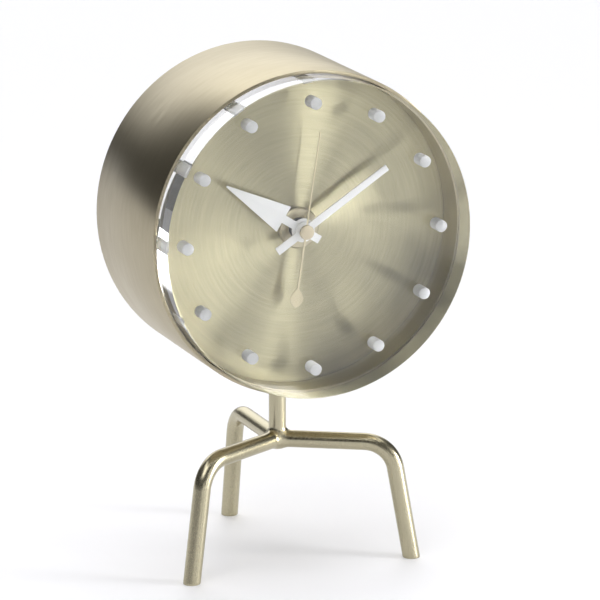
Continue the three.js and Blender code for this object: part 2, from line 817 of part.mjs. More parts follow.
function buildSecondWheel() {
	const pinion = wheel(secondPinionTeeth, thirdModule, 'third', 0, pinionReach);
	const shaft = rod(secondShaftRadius, rearPivot, -secondHandDepth - secondHandThickness / 2, pinSides);
	return joined(wheel(secondTeeth, stepModule, 'second'), pinion, shaft);
}

function buildStepWheel() {
	const pinion = wheel(stepPinionTeeth, stepModule, 'second', stepPinionTurn, pinionReach);
	const arbor = rod(arborRadius, rearPivot, middlePlate.high, pinSides);
	return at(joined(wheel(stepTeeth, rotorModule, 'step'), pinion, arbor), stepPlace);
}

const magnetFace = layer('motor').high;

function buildRotor() {
	const pinion = wheel(rotorPinionTeeth, rotorModule, 'step', rotorTurn, pinionReach);
	const magnet = rod(magnetRadius, magnetFace - magnetThickness, magnetFace);
	const arbor = rod(arborRadius, rearPivot, middlePlate.high, pinSides);
	return at(joined(pinion, magnet, arbor), rotorPlace);
}

// Step motor, circuit and battery

const statorRight = magnetRadius + airGap + statorWeb;
const coilMiddle = chamber.left + coilStandOff + coilThickness / 2 - rotorPlace.x;
const statorLeft = coilMiddle - coreWidth / 2;
const statorBottom = -statorHeight / 2;

// A closed iron loop: its wide side holds the rotor and its narrow side is the coil's core.
function buildStator() {
	const { low, high } = layer('motor');
	const loop = box(statorLeft, statorBottom, statorRight, -statorBottom, low, high);
	const gapLeft = statorLeft + coreWidth;
	const gapEdge = statorBottom + yokeWidth;
	const gap = box(gapLeft, gapEdge, -statorRight, -gapEdge, low - cutOverrun, high + cutOverrun);
	const rotorRoom = rod(magnetRadius + airGap, low - cutOverrun, high + cutOverrun);
	return at(cut(loop, gap, rotorRoom), rotorPlace);
}

function buildCoil() {
	const { low, high } = layer('motor');
	const middle = (low + high) / 2;
	const side = coilThickness / 2;
	const edges = [coilMiddle - side, middle - side, coilMiddle + side, middle + side];
	const outline = roundedRectangle(...edges, coilCorner);
	const play = seatGap + coreWidth / 2;
	const flat = seatGap + layerThickness / 2;
	const coreEdges = [coilMiddle - play, middle - flat, coilMiddle + play, middle + flat];
	const core = box(...coreEdges, -coilLength, coilLength);
	const winding = cut(plate(outline, -coilLength / 2, coilLength / 2), core);
	return at(winding.rotate([90, 0, 0]), rotorPlace);
}

function buildBoard() {
	const { low, high } = layer('motor');
	const left = chamber.left + seatGap;
	const upper = chamber.upper - seatGap;
	const lower = upper - boardHeight;
	const sheet = plate(roundedRectangle(left, lower, left + boardWidth, upper, innerCorner), low, high);
	const chipMiddle = { x: left + boardWidth / 2, y: (upper + lower) / 2 };
	const half = chipWidth / 2;
	const chip = at(box(-half, -half, half, half, low - chipThickness, high), chipMiddle);
	return joined(sheet, chip);
}

const cellDepth = housingFace + bayFloor + seatGap + cellRadius;

const contactFace = chamber.right - seatGap - contactThickness;

function buildCell() {
	const body = turnedSolid([
		[0, 0],
		[cellRadius, 0],
		[cellRadius, cellLength],
		[nubRadius, cellLength],
		[nubRadius, cellLength + nubLength],
		[0, cellLength + nubLength],
	], boreSides);
	const minusEnd = contactBulge + seatGap - contactFace;
	return body.rotate([0, 90, 0]).translate([minusEnd, bayMiddle, -cellDepth]);
}

// The sprung strip at the right-hand end of the bay.
function buildPlusContact() {
	const half = contactHeight / 2;
	const high = -housingFace - bayFloor - seatGap;
	const right = contactFace + contactThickness;
	return box(contactFace, bayMiddle - half, right, bayMiddle + half, -cellDepth - half, high);
}

// The strip at the left-hand end, with the bulge that presses on the cell's flat end.
function buildMinusContact() {
	const bulge = turnedSolid([[0, -contactBulge], [contactBulgeRadius, 0], [0, contactThickness / 2]], pinSides)
		.rotate([0, 90, 0])
		.translate([contactFace, bayMiddle, -cellDepth]);
	return joined(buildPlusContact(), bulge).mirror([1, 0, 0]);
}

// Head: everything on the drum's axis

function buildHead() {
	const head = new THREE.Group();
	piece(head, 'drum_shell', buildDrumShell(), brass);
	piece(head, 'lens', buildLens(), clear);
	hourPlaces.forEach(({ x, y }, i) => {
		const peg = piece(head, `hour_peg_${String(i + 1).padStart(2, '0')}`, pegBody(0, lensBack), frosted);
		peg.position.set(x, y, 0);
	});
	const ringEnds = [seatGap - dialDepth, lensBack - seatGap];
	piece(head, 'dial_ring', tube(insideRadius - dialRingWall, insideRadius, ...ringEnds, ringSides), brass);
	const dialEnds = [-dialDepth - dialThickness, -dialDepth];
	piece(head, 'dial', tube(neckRadius + seatGap, insideRadius, ...dialEnds, ringSides), brass);

	const nutLow = seatGap - dialDepth;
	const nutTop = nutLow + nutHeight;
	const nut = turned([
		[neckRadius + seatGap, nutLow],
		[nutRadius, nutLow],
		[nutRadius, nutTop - nutChamfer],
		[nutRadius - nutChamfer, nutTop],
		[nutRecessRadius, nutTop],
		[nutRecessRadius, nutTop - nutRecessDepth],
		[neckRadius + seatGap, nutTop - nutRecessDepth],
	], nutSides);
	piece(head, 'dial_nut', nut, brass);
	const cushionHigh = -dialDepth - dialThickness - seatGap;
	const cushion = tube(neckRadius + seatGap, cushionRadius, cushionHigh - cushionThickness, cushionHigh);
	piece(head, 'cushion_washer', cushion, rubber);

	piece(head, 'hour_hand', buildHourHand(), whiteLacquer).rotation.z = -radians(hourAngle);
	piece(head, 'minute_hand', buildMinuteHand(), whiteLacquer).rotation.z = -radians(minuteAngle);
	piece(head, 'second_hand', buildSecondHand(), brightBrass).rotation.z = -radians(secondAngle);
	const capLow = runningGap - secondHandDepth;
	const cap = turnedSolid([
		[0, capLow],
		[hubCapRadius, capLow],
		[hubCapRadius, capLow + hubCapHeight - hubCapChamfer],
		[hubCapRadius - hubCapChamfer, capLow + hubCapHeight],
		[0, capLow + hubCapHeight],
	], boreSides);
	piece(head, 'hub_cap', cap, brightBrass);

	piece(head, 'dial_seat_ring', buildDialSeat(), brass);
	piece(head, 'cover_seat_ring', buildCoverSeat(), brass);
	piece(head, 'rear_cover', buildRearCover(), brass);
	coverScrewPlaces.forEach((place, i) => {
		piece(head, `cover_screw_${i + 1}`, buildCoverScrew(place), steel);
	});
	head.add(buildMovement());
	head.rotation.x = Math.PI / 2;
	head.position.set(0, -stemSetback, headHeight);
	return head;
}

function buildMovement() {
	const movement = new THREE.Group();
	piece(movement, 'movement_front_plate', buildFrontPlate(), blackPlastic);
	piece(movement, 'movement_middle_plate', buildMiddlePlate(), whitePlastic);
	piece(movement, 'movement_housing', buildHousing(), blackPlastic);
	piece(movement, 'hour_wheel', buildHourWheel(), whitePlastic);
	piece(movement, 'minute_pipe', buildMinutePipe(), brightBrass);
	piece(movement, 'minute_wheel', buildMinuteWheel(), whitePlastic);
	piece(movement, 'set_shaft', buildSetShaft(), whitePlastic);
	piece(movement, 'set_knob', buildSetKnob(), blackPlastic);
	piece(movement, 'centre_wheel', buildCentreWheel(), whitePlastic);
	piece(movement, 'third_wheel', buildThirdWheel(), whitePlastic);
	piece(movement, 'second_wheel', buildSecondWheel(), steel);
	piece(movement, 'step_wheel', buildStepWheel(), whitePlastic);
	piece(movement, 'rotor', buildRotor(), steel);
	piece(movement, 'stator', buildStator(), steel);
	piece(movement, 'coil', buildCoil(), copper);
	piece(movement, 'circuit_board', buildBoard(), boardGreen);
	piece(movement, 'battery', buildCell(), cellJacket);
	piece(movement, 'contact_minus', buildMinusContact(), steel);
	piece(movement, 'contact_plus', buildPlusContact(), steel);
	return movement;
}

const clock = new THREE.Group();
clock.add(buildStand(), buildHead());
const reach = new THREE.Box3().setFromObject(clock);
clock.position.y = -(reach.min.y + reach.max.y) / 2;

export default clock;
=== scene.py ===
"""Looks of a brass drum clock on a tripod of bent rods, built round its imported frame.

Lengths are metres in the frame's axes: +Z up, the dial faces -Y. Pieces on the drum's axis are
drawn as the reader of the dial sees them, with X to the right, Y up and Z towards the reader
from the plane of the drum's front rim, and a head matrix puts them in their place.
"""

from __future__ import annotations

import json
import logging
import math
from collections.abc import Iterable, Iterator, Sequence
from contextlib import contextmanager
from dataclasses import dataclass, field
from enum import Enum

import bmesh
import bpy
import numpy as np
from mathutils import Matrix, Vector

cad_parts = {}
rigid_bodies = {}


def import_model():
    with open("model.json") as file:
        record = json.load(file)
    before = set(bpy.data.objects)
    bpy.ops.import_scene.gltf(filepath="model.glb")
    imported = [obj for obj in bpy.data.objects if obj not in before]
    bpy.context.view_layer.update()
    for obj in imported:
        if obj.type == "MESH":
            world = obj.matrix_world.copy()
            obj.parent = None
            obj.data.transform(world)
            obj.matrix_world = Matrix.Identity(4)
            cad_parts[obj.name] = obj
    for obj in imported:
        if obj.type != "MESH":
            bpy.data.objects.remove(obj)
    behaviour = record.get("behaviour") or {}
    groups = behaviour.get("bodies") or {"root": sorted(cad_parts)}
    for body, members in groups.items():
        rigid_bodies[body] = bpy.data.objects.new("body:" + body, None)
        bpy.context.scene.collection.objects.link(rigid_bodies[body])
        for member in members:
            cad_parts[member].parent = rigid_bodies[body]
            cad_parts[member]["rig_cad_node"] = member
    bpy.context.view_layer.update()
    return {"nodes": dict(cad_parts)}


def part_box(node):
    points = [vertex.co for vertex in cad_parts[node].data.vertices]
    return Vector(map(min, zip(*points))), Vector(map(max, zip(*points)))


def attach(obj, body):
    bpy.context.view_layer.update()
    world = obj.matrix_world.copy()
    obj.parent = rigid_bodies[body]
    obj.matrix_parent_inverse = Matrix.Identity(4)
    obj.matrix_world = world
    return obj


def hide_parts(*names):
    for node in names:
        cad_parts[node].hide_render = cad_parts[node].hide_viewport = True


LOG = logging.getLogger("tripod_clock")
MM = 0.001
# Light goes round inside the lens's edge this often before it leaves.
LENS_BOUNCES = 12
WHITE = (1.0, 1.0, 1.0, 1.0)

Colour = tuple[float, float, float]
Outline = Sequence[tuple[float, float]]
Node = bpy.types.Node
Piece = bpy.types.Object
Socket = bpy.types.NodeSocket


class Sides(int, Enum):
    """How many flats a round piece is made of."""

    DRUM = 240
    PIPE = 64
    PEG = 40
    SCREW = 28


class Body(str, Enum):
    """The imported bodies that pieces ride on."""

    CASE = "case"
    MINUTE = "minute_arbor"
    HOUR = "hour_arbor"
    SECOND = "second_arbor"
    SETTING = "setting_arbor"
    CELL = "cell"


class Slot(str, Enum):
    """The record's material slots."""

    BRASS = "brass"
    BRIGHT_BRASS = "bright_brass"
    ACRYLIC = "clear_acrylic"
    FROSTED = "frosted_white"
    LACQUER = "white_lacquer"
    BLACK_PLASTIC = "black_plastic"
    WHITE_PLASTIC = "white_plastic"
    RUBBER = "rubber"
    STEEL = "steel"
    COPPER = "copper"
    BOARD = "board_green"
    JACKET = "cell_jacket"


class Cut(str, Enum):
    """What a tool does to a piece."""

    JOIN = "UNION"
    REMOVE = "DIFFERENCE"


# Shader node trees


@dataclass(frozen=True)
class Canvas:
    """The node tree of a material, the world or a group, with short calls that fill it."""

    tree: bpy.types.NodeTree

    @classmethod
    def blank(cls, owner: bpy.types.Material | bpy.types.World) -> Canvas:
        """Empties a node tree and wraps it.

        Args:
            owner: the material or world that the tree belongs to.

        Returns:
            Its canvas.
        """
        owner.use_nodes = True
        owner.node_tree.nodes.clear()
        return cls(owner.node_tree)

    def add(
        self, kind: str, *values: Socket | float | Sequence[float], **settings: object
    ) -> Node:
        """Adds a node.

        Args:
            kind: the node's type, such as ShaderNodeMath.
            values: sockets or plain values for its first inputs.
            settings: attributes to set on it.

        Returns:
            The new node.
        """
        node = self.tree.nodes.new(kind)
        for name, value in settings.items():
            setattr(node, name, value)
        for value, socket in zip(values, node.inputs):
            self.join(value, socket)
        return node

    def fill(self, node: Node, **values: Socket | float | Sequence[float]) -> None:
        """Joins sockets or plain values to a node's inputs.

        Args:
            node: the node.
            values: what its inputs get, by their names with a low line for a space.
        """
        for name, value in values.items():
            self.join(value, node.inputs[name.replace("_", " ").title()])

    def join(self, source: Socket | float | Sequence[float], target: Socket) -> None:
        """Links a socket to another, or writes a plain value into it.

        Args:
            source: an output socket or a value.
            target: the input socket.
        """
        if isinstance(source, Socket):
            self.tree.links.new(source, target)
        else:
            target.default_value = source

    def finish(self, shader: Node, output: str = "ShaderNodeOutputMaterial") -> None:
        """Joins a shader to the tree's output.

        Args:
            shader: the shader node.
            output: the type of the output node.
        """
        self.join(shader.outputs[0], self.add(output).inputs["Surface"])

    def math(self, operation: str, *values: Socket | float) -> Socket:
        """Adds a Math node for as many values as its operation reads, and returns its output."""
        return self.add("ShaderNodeMath", *values, operation=operation).outputs[0]

    def vector(self, *values: Socket | float) -> Socket:
        """Makes a vector of up to three values, which fill X first."""
        return self.add("ShaderNodeCombineXYZ", *values).outputs[0]

    def vector_math(self, operation: str, *values: Socket) -> Node:
        """Adds a Vector Math node for vectors, or for numbers that stand for three alike."""
        return self.add("ShaderNodeVectorMath", *values, operation=operation)

    def noise(
        self, place: Socket, scale: Socket | float, detail: float, roughness: float = 0.5
    ) -> Socket:
        """Adds a noise.

        Args:
            place: the coordinates that it reads.
            scale: how many of its clouds lie on a metre of them.
            detail: its octaves.
            roughness: how strong the fine ones are.

        Returns:
            Its value.
        """
        node = self.add("ShaderNodeTexNoise", noise_dimensions="3D")
        self.fill(node, vector=place, scale=scale, detail=detail, roughness=roughness)
        return node.outputs[0]

    def blend(self, share: Socket, first: Colour, second: Colour) -> Socket:
        """Mixes two colours.

        Args:
            share: how much of the second colour shows.
            first: the colour at 0.
            second: the colour at 1.

        Returns:
            The mixed colour's socket.
        """
        node = self.add("ShaderNodeMix", share, data_type="RGBA")
        for colour, socket in zip((first, second), (s for s in node.inputs if s.type == "RGBA")):
            self.join((*colour, 1.0), socket)
        return next(s for s in node.outputs if s.type == "RGBA")


class Effect:
    """A shader node group that several materials share."""

    title = ""
    inputs: dict[str, float] = {}
    outputs: tuple[str, ...] = ()

    def tree(self) -> bpy.types.NodeTree:
        """Finds the group's tree, or builds it the first time.

        Returns:
            The tree.
        """
        found = bpy.data.node_groups.get(self.title)
        if found is not None:
            return found
        tree = bpy.data.node_groups.new(self.title, "ShaderNodeTree")
        tree.interface.new_socket("Vector", in_out="INPUT", socket_type="NodeSocketVector")
        for name, value in self.inputs.items():
            socket = tree.interface.new_socket(name, in_out="INPUT", socket_type="NodeSocketFloat")
            socket.default_value = value
        for name in self.outputs:
            tree.interface.new_socket(name, in_out="OUTPUT", socket_type="NodeSocketFloat")
        canvas = Canvas(tree)
        entry = canvas.add("NodeGroupInput")
        leave = canvas.add("NodeGroupOutput")
        for name, socket in self.draw(canvas, entry).items():
            canvas.join(socket, leave.inputs[name])
        return tree

    def draw(self, canvas: Canvas, entry: Node) -> dict[str, Socket]:
        """Draws the group's nodes.

        Args:
            canvas: the group's tree.
            entry: its Group Input node.

        Returns:
            What feeds each output, by name.
        """
        raise NotImplementedError

    def place(self, canvas: Canvas, vector: Socket, **values: float) -> Node:
        """Places the group in a material.

        Args:
            canvas: the material's tree.
            vector: the coordinates that it reads.
            values: its inputs by name, with a low line for a space.

        Returns:
            The group node.
        """
        node = canvas.add("ShaderNodeGroup", node_tree=self.tree())
        canvas.fill(node, vector=vector, **values)
        return node


class RingGrain(Effect):
    """Fine lines turned round the Z axis, as a lathe or a brushing wheel leaves them.

    Lines run round the axis and are told apart by radius and height, so the same group serves a
    flat dial and the outside of a drum. Each output has its own share of the lines per metre and
    its own detail.
    """

    title = "Ring grain"
    inputs = {"Lines Per Metre": 2500.0, "Breaks": 6.0}
    outputs = ("Height", "Streaks")
    shares = (1.0, 0.22)
    details = (3.0, 2.0)
    roughness = 0.6

    def draw(self, canvas: Canvas, entry: Node) -> dict[str, Socket]:
        """Draws two noises in cylinder coordinates, a fine one and a broad one.

        Args:
            canvas: the group's tree.
            entry: its Group Input node.

        Returns:
            The fine height and the broader streaks.
        """
        x, y, z = canvas.add("ShaderNodeSeparateXYZ", entry.outputs["Vector"]).outputs
        square = canvas.math("MULTIPLY", x, x)
        radius = canvas.math("SQRT", canvas.math("ADD", square, canvas.math("MULTIPLY", y, y)))
        turn = canvas.vector(canvas.math("DIVIDE", x, radius), canvas.math("DIVIDE", y, radius))
        around = canvas.vector_math("MULTIPLY", turn, entry.outputs["Breaks"]).outputs[0]
        across = canvas.math("ADD", radius, z)
        found = {}
        for name, share, detail in zip(self.outputs, self.shares, self.details):
            lines = canvas.math("MULTIPLY", entry.outputs["Lines Per Metre"], share)
            lift = canvas.vector(0.0, 0.0, canvas.math("MULTIPLY", across, lines))
            point = canvas.vector_math("ADD", around, lift).outputs[0]
            found[name] = canvas.noise(point, 1.0, detail, self.roughness)
        return found


class LongGrain(Effect):
    """Lines along one direction of the coordinates, as a drawn rod or a brushed strip has them."""

    title = "Long grain"
    inputs = {"Lines Per Metre": 1800.0, "Stretch": 0.03}
    outputs = ("Height",)

    def draw(self, canvas: Canvas, entry: Node) -> dict[str, Socket]:
        """Draws a noise that is drawn out along Z.

        Args:
            canvas: the group's tree.
            entry: its Group Input node.

        Returns:
            The height of the lines.
        """
        lines = entry.outputs["Lines Per Metre"]
        along = canvas.math("MULTIPLY", lines, entry.outputs["Stretch"])
        stretch = canvas.vector(lines, lines, along)
        point = canvas.vector_math("MULTIPLY", entry.outputs["Vector"], stretch).outputs[0]
        return {"Height": canvas.noise(point, 1.0, detail=3.0)}


class Mottle(Effect):
    """Slow, cloudy change over a surface: handling on metal, flow in a moulding."""

    title = "Mottle"
    inputs = {"Size": 20 * MM, "Contrast": 1.6}
    outputs = ("Mask",)

    def draw(self, canvas: Canvas, entry: Node) -> dict[str, Socket]:
        """Draws one broad noise with its contrast raised.

        Args:
            canvas: the group's tree.
            entry: its Group Input node.

        Returns:
            The mask.
        """
        scale = canvas.math("DIVIDE", 1.0, entry.outputs["Size"])
        cloud = canvas.noise(entry.outputs["Vector"], scale, detail=4.0)
        middle = canvas.math("SUBTRACT", cloud, 0.5)
        spread = canvas.math("MULTIPLY_ADD", middle, entry.outputs["Contrast"], 0.5)
        mask = canvas.math("MINIMUM", canvas.math("MAXIMUM", spread, 0.0), 1.0)
        return {"Mask": mask}


class Stipple(Effect):
    """Fine grain of a moulded, cast or sanded surface."""

    title = "Stipple"
    inputs = {"Grains Per Metre": 2500.0}
    outputs = ("Height",)

    def draw(self, canvas: Canvas, entry: Node) -> dict[str, Socket]:
        """Draws one fine noise.

        Args:
            canvas: the group's tree.
            entry: its Group Input node.

        Returns:
            The height of the grains.
        """
        grains = entry.outputs["Grains Per Metre"]
        return {"Height": canvas.noise(entry.outputs["Vector"], grains, detail=2.0)}


# Finishes

# The pack brings materials of its own, so those made here are kept apart from bpy.data's.
MADE: dict[str, bpy.types.Material] = {}


@dataclass(frozen=True)
class Finish:
    """A finish with a Principled shader, and what changes over its surface.

    Colour runs from light to dark by the mottle and, for the grain's share, by the last output
    of the grain, which also plays round the roughness. Anisotropy is for metal brushed round the
    Z axis. Lean is the slope at which such brushed lines face outwards.
    """

    name: str
    slot: Slot
    light: Colour
    dark: Colour
    roughness: float
    roughness_play: float = 0.05
    metallic: float = 0.0
    mottle_size: float = 20 * MM
    bump: float = 0.1
    bump_depth: float = 0.02 * MM
    anisotropy: float = 0.0
    turn: float = 0.25
    lean: float = 0.0
    coat: float = 0.0
    coat_roughness: float = 0.08
    grain: type[Effect] = Stipple
    grain_inputs: dict[str, float] = field(default_factory=dict)
    grain_share: float = 0.3

    def material(self) -> bpy.types.Material:
        """Finds the material, or builds it the first time.

        Returns:
            The material.
        """
        if self.name not in MADE:
            material = bpy.data.materials.new(self.name)
            MADE[self.name] = material
            canvas = Canvas.blank(material)
            shader = canvas.add("ShaderNodeBsdfPrincipled")
            canvas.finish(shader)
            self.dress(canvas, shader)
        return MADE[self.name]

    def dress(self, canvas: Canvas, shader: Node) -> None:
        """Sets the shader's plain values and links what changes over the surface.

        Args:
            canvas: the material's tree.
            shader: its Principled shader.
        """
        where = canvas.add("ShaderNodeTexCoord").outputs["Object"]
        grain = self.grain().place(canvas, where, **self.grain_inputs).outputs
        mottle = Mottle().place(canvas, where, size=self.mottle_size).outputs[0]
        fine = grain[-1]
        apart = canvas.math("SUBTRACT", fine, mottle)
        tone = canvas.math("MULTIPLY_ADD", apart, self.grain_share, mottle)
        colour = canvas.blend(tone, self.light, self.dark)
        low = self.roughness - self.roughness_play
        rough = canvas.math("MULTIPLY_ADD", fine, 2 * self.roughness_play, low)
        canvas.fill(shader, base_color=colour, roughness=rough, metallic=self.metallic)
        if self.coat:
            canvas.fill(shader, coat_weight=self.coat, coat_roughness=self.coat_roughness)
        if self.anisotropy:
            tangent = canvas.add("ShaderNodeTangent", direction_type="RADIAL", axis="Z")
            canvas.fill(shader, anisotropic=self.anisotropy, anisotropic_rotation=self.turn)
            canvas.fill(shader, tangent=tangent.outputs[0])
        height = grain[0]
        if self.lean:
            radius = canvas.vector_math("LENGTH", where).outputs["Value"]
            fall = -self.lean / (self.bump * self.bump_depth)
            height = canvas.math("MULTIPLY_ADD", radius, fall, height)
        bump = canvas.add("ShaderNodeBump")
        canvas.fill(bump, strength=self.bump, distance=self.bump_depth, height=height)
        canvas.fill(shader, normal=bump.outputs[0])


@dataclass(frozen=True)
class ClearFinish(Finish):
    """Clear acrylic, which bends light by its own thickness."""

    index: float = 1.49

    def dress(self, canvas: Canvas, shader: Node) -> None:
        """Sets plain glass, with the faintest change of polish over the surface.

        Args:
            canvas: the material's tree.
            shader: its Principled shader.
        """
        where = canvas.add("ShaderNodeTexCoord").outputs["Object"]
        mottle = Mottle().place(canvas, where, size=self.mottle_size).outputs[0]
        colour = canvas.blend(mottle, self.light, self.dark)
        rough = canvas.math("MULTIPLY_ADD", mottle, self.roughness_play, self.roughness)
        canvas.fill(shader, base_color=colour, roughness=rough)
        shader.inputs["Metallic"].default_value = self.metallic
        shader.inputs["Transmission Weight"].default_value = 1.0
        shader.inputs["IOR"].default_value = self.index


CHAMPAGNE = (0.50, 0.457, 0.325)
CHAMPAGNE_DARK = (0.44, 0.395, 0.275)
DRUM_BRASS = Finish(
    "brushed_brass_drum", Slot.BRASS, light=(0.50, 0.447, 0.32), dark=(0.41, 0.36, 0.25),
    roughness=0.32, roughness_play=0.06, metallic=1.0, anisotropy=0.75, bump=0.12,
    grain=RingGrain, grain_inputs={"lines_per_metre": 2200.0, "breaks": 5.0}, grain_share=0.6,
)
DIAL_BRASS = Finish(
    "brushed_brass_dial", Slot.BRASS, light=(0.56, 0.524, 0.343), dark=(0.34, 0.312, 0.199),
    roughness=0.29, roughness_play=0.02, metallic=1.0, anisotropy=1.0, bump=0.03, lean=0.08,
    grain=RingGrain, grain_inputs={"lines_per_metre": 5000.0, "breaks": 2.0}, grain_share=0.7,
)
ROD_BRASS = Finish(
    "satin_brass_rod", Slot.BRASS, light=CHAMPAGNE, dark=(0.47, 0.43, 0.30),
    roughness=0.27, roughness_play=0.02, metallic=1.0,
    grain=LongGrain, grain_inputs={"lines_per_metre": 4000.0, "stretch": 0.01},
)
PLAIN_BRASS = Finish(
    "satin_brass", Slot.BRASS, light=CHAMPAGNE, dark=CHAMPAGNE_DARK,
    roughness=0.33, metallic=1.0, bump=0.08,
    grain=RingGrain, grain_inputs={"lines_per_metre": 2500.0, "breaks": 4.0},
)
CAP_BRASS = Finish(
    "pink_brass_cap", Slot.BRIGHT_BRASS, light=(0.57, 0.50, 0.36), dark=(0.51, 0.445, 0.31),
    roughness=0.3, metallic=1.0, bump=0.05,
    grain=RingGrain, grain_inputs={"lines_per_metre": 4000.0, "breaks": 3.0},
)
GILT = Finish(
    "gilt_second_hand", Slot.BRIGHT_BRASS, light=(0.62, 0.56, 0.38), dark=(0.55, 0.49, 0.33),
    roughness=0.32, roughness_play=0.04, metallic=1.0, bump=0.04, grain=LongGrain,
)
ACRYLIC = ClearFinish(
    "polished_acrylic", Slot.ACRYLIC, light=(1.0, 1.0, 1.0), dark=(0.985, 0.99, 0.99),
    roughness=0.0, roughness_play=0.004,
)
FROSTED = Finish(
    "frosted_white_peg", Slot.FROSTED, light=(0.92, 0.93, 0.93), dark=(0.86, 0.87, 0.87),
    roughness=0.5, roughness_play=0.08, mottle_size=4 * MM,
    grain_inputs={"grains_per_metre": 3000.0},
)
HAND_WHITE = Finish(
    "white_lacquered_hand", Slot.LACQUER, light=(0.88, 0.89, 0.89), dark=(0.84, 0.85, 0.85),
    roughness=0.38, coat=0.3, bump=0.03, grain_inputs={"grains_per_metre": 4000.0},
)
BLACK_PLASTIC = Finish(
    "black_moulded_plastic", Slot.BLACK_PLASTIC,
    light=(0.026, 0.026, 0.028), dark=(0.018, 0.018, 0.02), roughness=0.42, roughness_play=0.06,
    bump=0.25, bump_depth=0.05 * MM, grain_inputs={"grains_per_metre": 1800.0},
)
WHITE_PLASTIC = Finish(
    "white_moulded_plastic", Slot.WHITE_PLASTIC, light=(0.8, 0.79, 0.75), dark=(0.74, 0.73, 0.69),
    roughness=0.45,
)
RUBBER = Finish(
    "black_rubber", Slot.RUBBER, light=(0.03, 0.03, 0.03), dark=(0.02, 0.02, 0.02),
    roughness=0.8, roughness_play=0.08, bump=0.3,
)
STEEL = Finish(
    "satin_steel", Slot.STEEL, light=(0.6, 0.6, 0.61), dark=(0.5, 0.5, 0.51),
    roughness=0.3, roughness_play=0.06, metallic=1.0, bump=0.08, grain=LongGrain,
)
COPPER = Finish(
    "enamelled_copper", Slot.COPPER, light=(0.66, 0.3, 0.14), dark=(0.5, 0.2, 0.09),
    roughness=0.3, metallic=0.9, coat=0.5, bump=0.4,
    grain=LongGrain, grain_inputs={"lines_per_metre": 6000.0},
)
BOARD = Finish(
    "green_circuit_board", Slot.BOARD, light=(0.03, 0.2, 0.08), dark=(0.02, 0.14, 0.06),
    roughness=0.35, coat=0.2,
)
JACKET = Finish(
    "graphite_cell_jacket", Slot.JACKET, light=(0.1, 0.105, 0.115), dark=(0.07, 0.075, 0.085),
    roughness=0.28, roughness_play=0.04, metallic=0.5, coat=0.6, bump=0.03,
)


# Mesh making


def new_object(name: str, data: bpy.types.ID) -> Piece:
    """Puts a mesh, a light or a camera in the scene.

    Args:
        name: the object's name.
        data: what it holds.

    Returns:
        The new object.
    """
    piece = bpy.data.objects.new(name, data)
    bpy.context.scene.collection.objects.link(piece)
    return piece


def smooth(mesh: bpy.types.Mesh, crease: float = 30.0) -> None:
    """Shades a mesh smooth, except over edges sharper than the crease, in degrees."""
    mesh.shade_smooth()
    mesh.set_sharp_from_angle(angle=math.radians(crease))


@contextmanager
def edited(mesh: bpy.types.Mesh) -> Iterator[bmesh.types.BMesh]:
    """Opens a mesh for editing, and writes it back at the end.

    Args:
        mesh: the mesh, which may be empty.

    Yields:
        Its bmesh.
    """
    made = bmesh.new()
    made.from_mesh(mesh)
    yield made
    made.to_mesh(mesh)
    made.free()


def revolve(name: str, profile: Outline, sides: int, closed: bool = True) -> Piece:
    """Turns a profile round the Z axis.

    Args:
        name: the piece's name.
        profile: [radius, height] points, in metres. A radius of 0 makes a pole.
        sides: the number of flats.
        closed: whether the last point joins the first.

    Returns:
        The turned piece.
    """
    mesh = bpy.data.meshes.new(name)
    with edited(mesh) as made:
        rings = []
        for radius, height in profile:
            turns = [2 * math.pi * i / sides for i in range(sides if radius > 0 else 1)]
            places = [(radius * math.cos(turn), radius * math.sin(turn), height) for turn in turns]
            rings.append([made.verts.new(place) for place in places])
        pairs = list(zip(rings, rings[1:]))
        if closed:
            pairs.append((rings[-1], rings[0]))
        for low, high in pairs:
            for i in range(sides):
                order = ((low, i), (low, i + 1), (high, i + 1), (high, i))
                corners = list(dict.fromkeys(ring[k % len(ring)] for ring, k in order))
                if len(corners) > 2:
                    made.faces.new(corners)
        bmesh.ops.recalc_face_normals(made, faces=made.faces)
    smooth(mesh)
    return new_object(name, mesh)


def extrude(name: str, outline: Outline, low: float, high: float) -> Piece:
    """Extrudes a flat outline along Z.

    Args:
        name: the piece's name.
        outline: its corners in order.
        low: the height where it begins.
        high: the height where it ends.

    Returns:
        The plate.
    """
    mesh = bpy.data.meshes.new(name)
    with edited(mesh) as made:
        floor = [made.verts.new((x, y, low)) for x, y in outline]
        roof = [made.verts.new((x, y, high)) for x, y in outline]
        made.faces.new(floor[::-1])
        made.faces.new(roof)
        for i, corner in enumerate(floor):
            j = (i + 1) % len(floor)
            made.faces.new((corner, floor[j], roof[j], roof[i]))
        bmesh.ops.recalc_face_normals(made, faces=made.faces)
    smooth(mesh)
    return new_object(name, mesh)


def baked(piece: Piece) -> None:
    """Replaces a piece's mesh by what its modifiers make of it, and drops them.

    Args:
        piece: the piece.
    """
    bpy.context.view_layer.update()
    seen = piece.evaluated_get(bpy.context.evaluated_depsgraph_get())
    mesh = bpy.data.meshes.new_from_object(seen)
    old = piece.data
    piece.modifiers.clear()
    piece.data = mesh
    bpy.data.meshes.remove(old)
    mesh.name = piece.name


def combine(piece: Piece, tool: Piece, cut: Cut) -> None:
    """Joins or cuts a piece with a tool, which is used up.

    Args:
        piece: the piece that stays.
        tool: the other solid.
        cut: what the tool does.
    """
    step = piece.modifiers.new("cut", "BOOLEAN")
    step.operation = cut.value
    step.solver = "EXACT"
    step.object = tool
    baked(piece)
    bpy.data.objects.remove(tool)


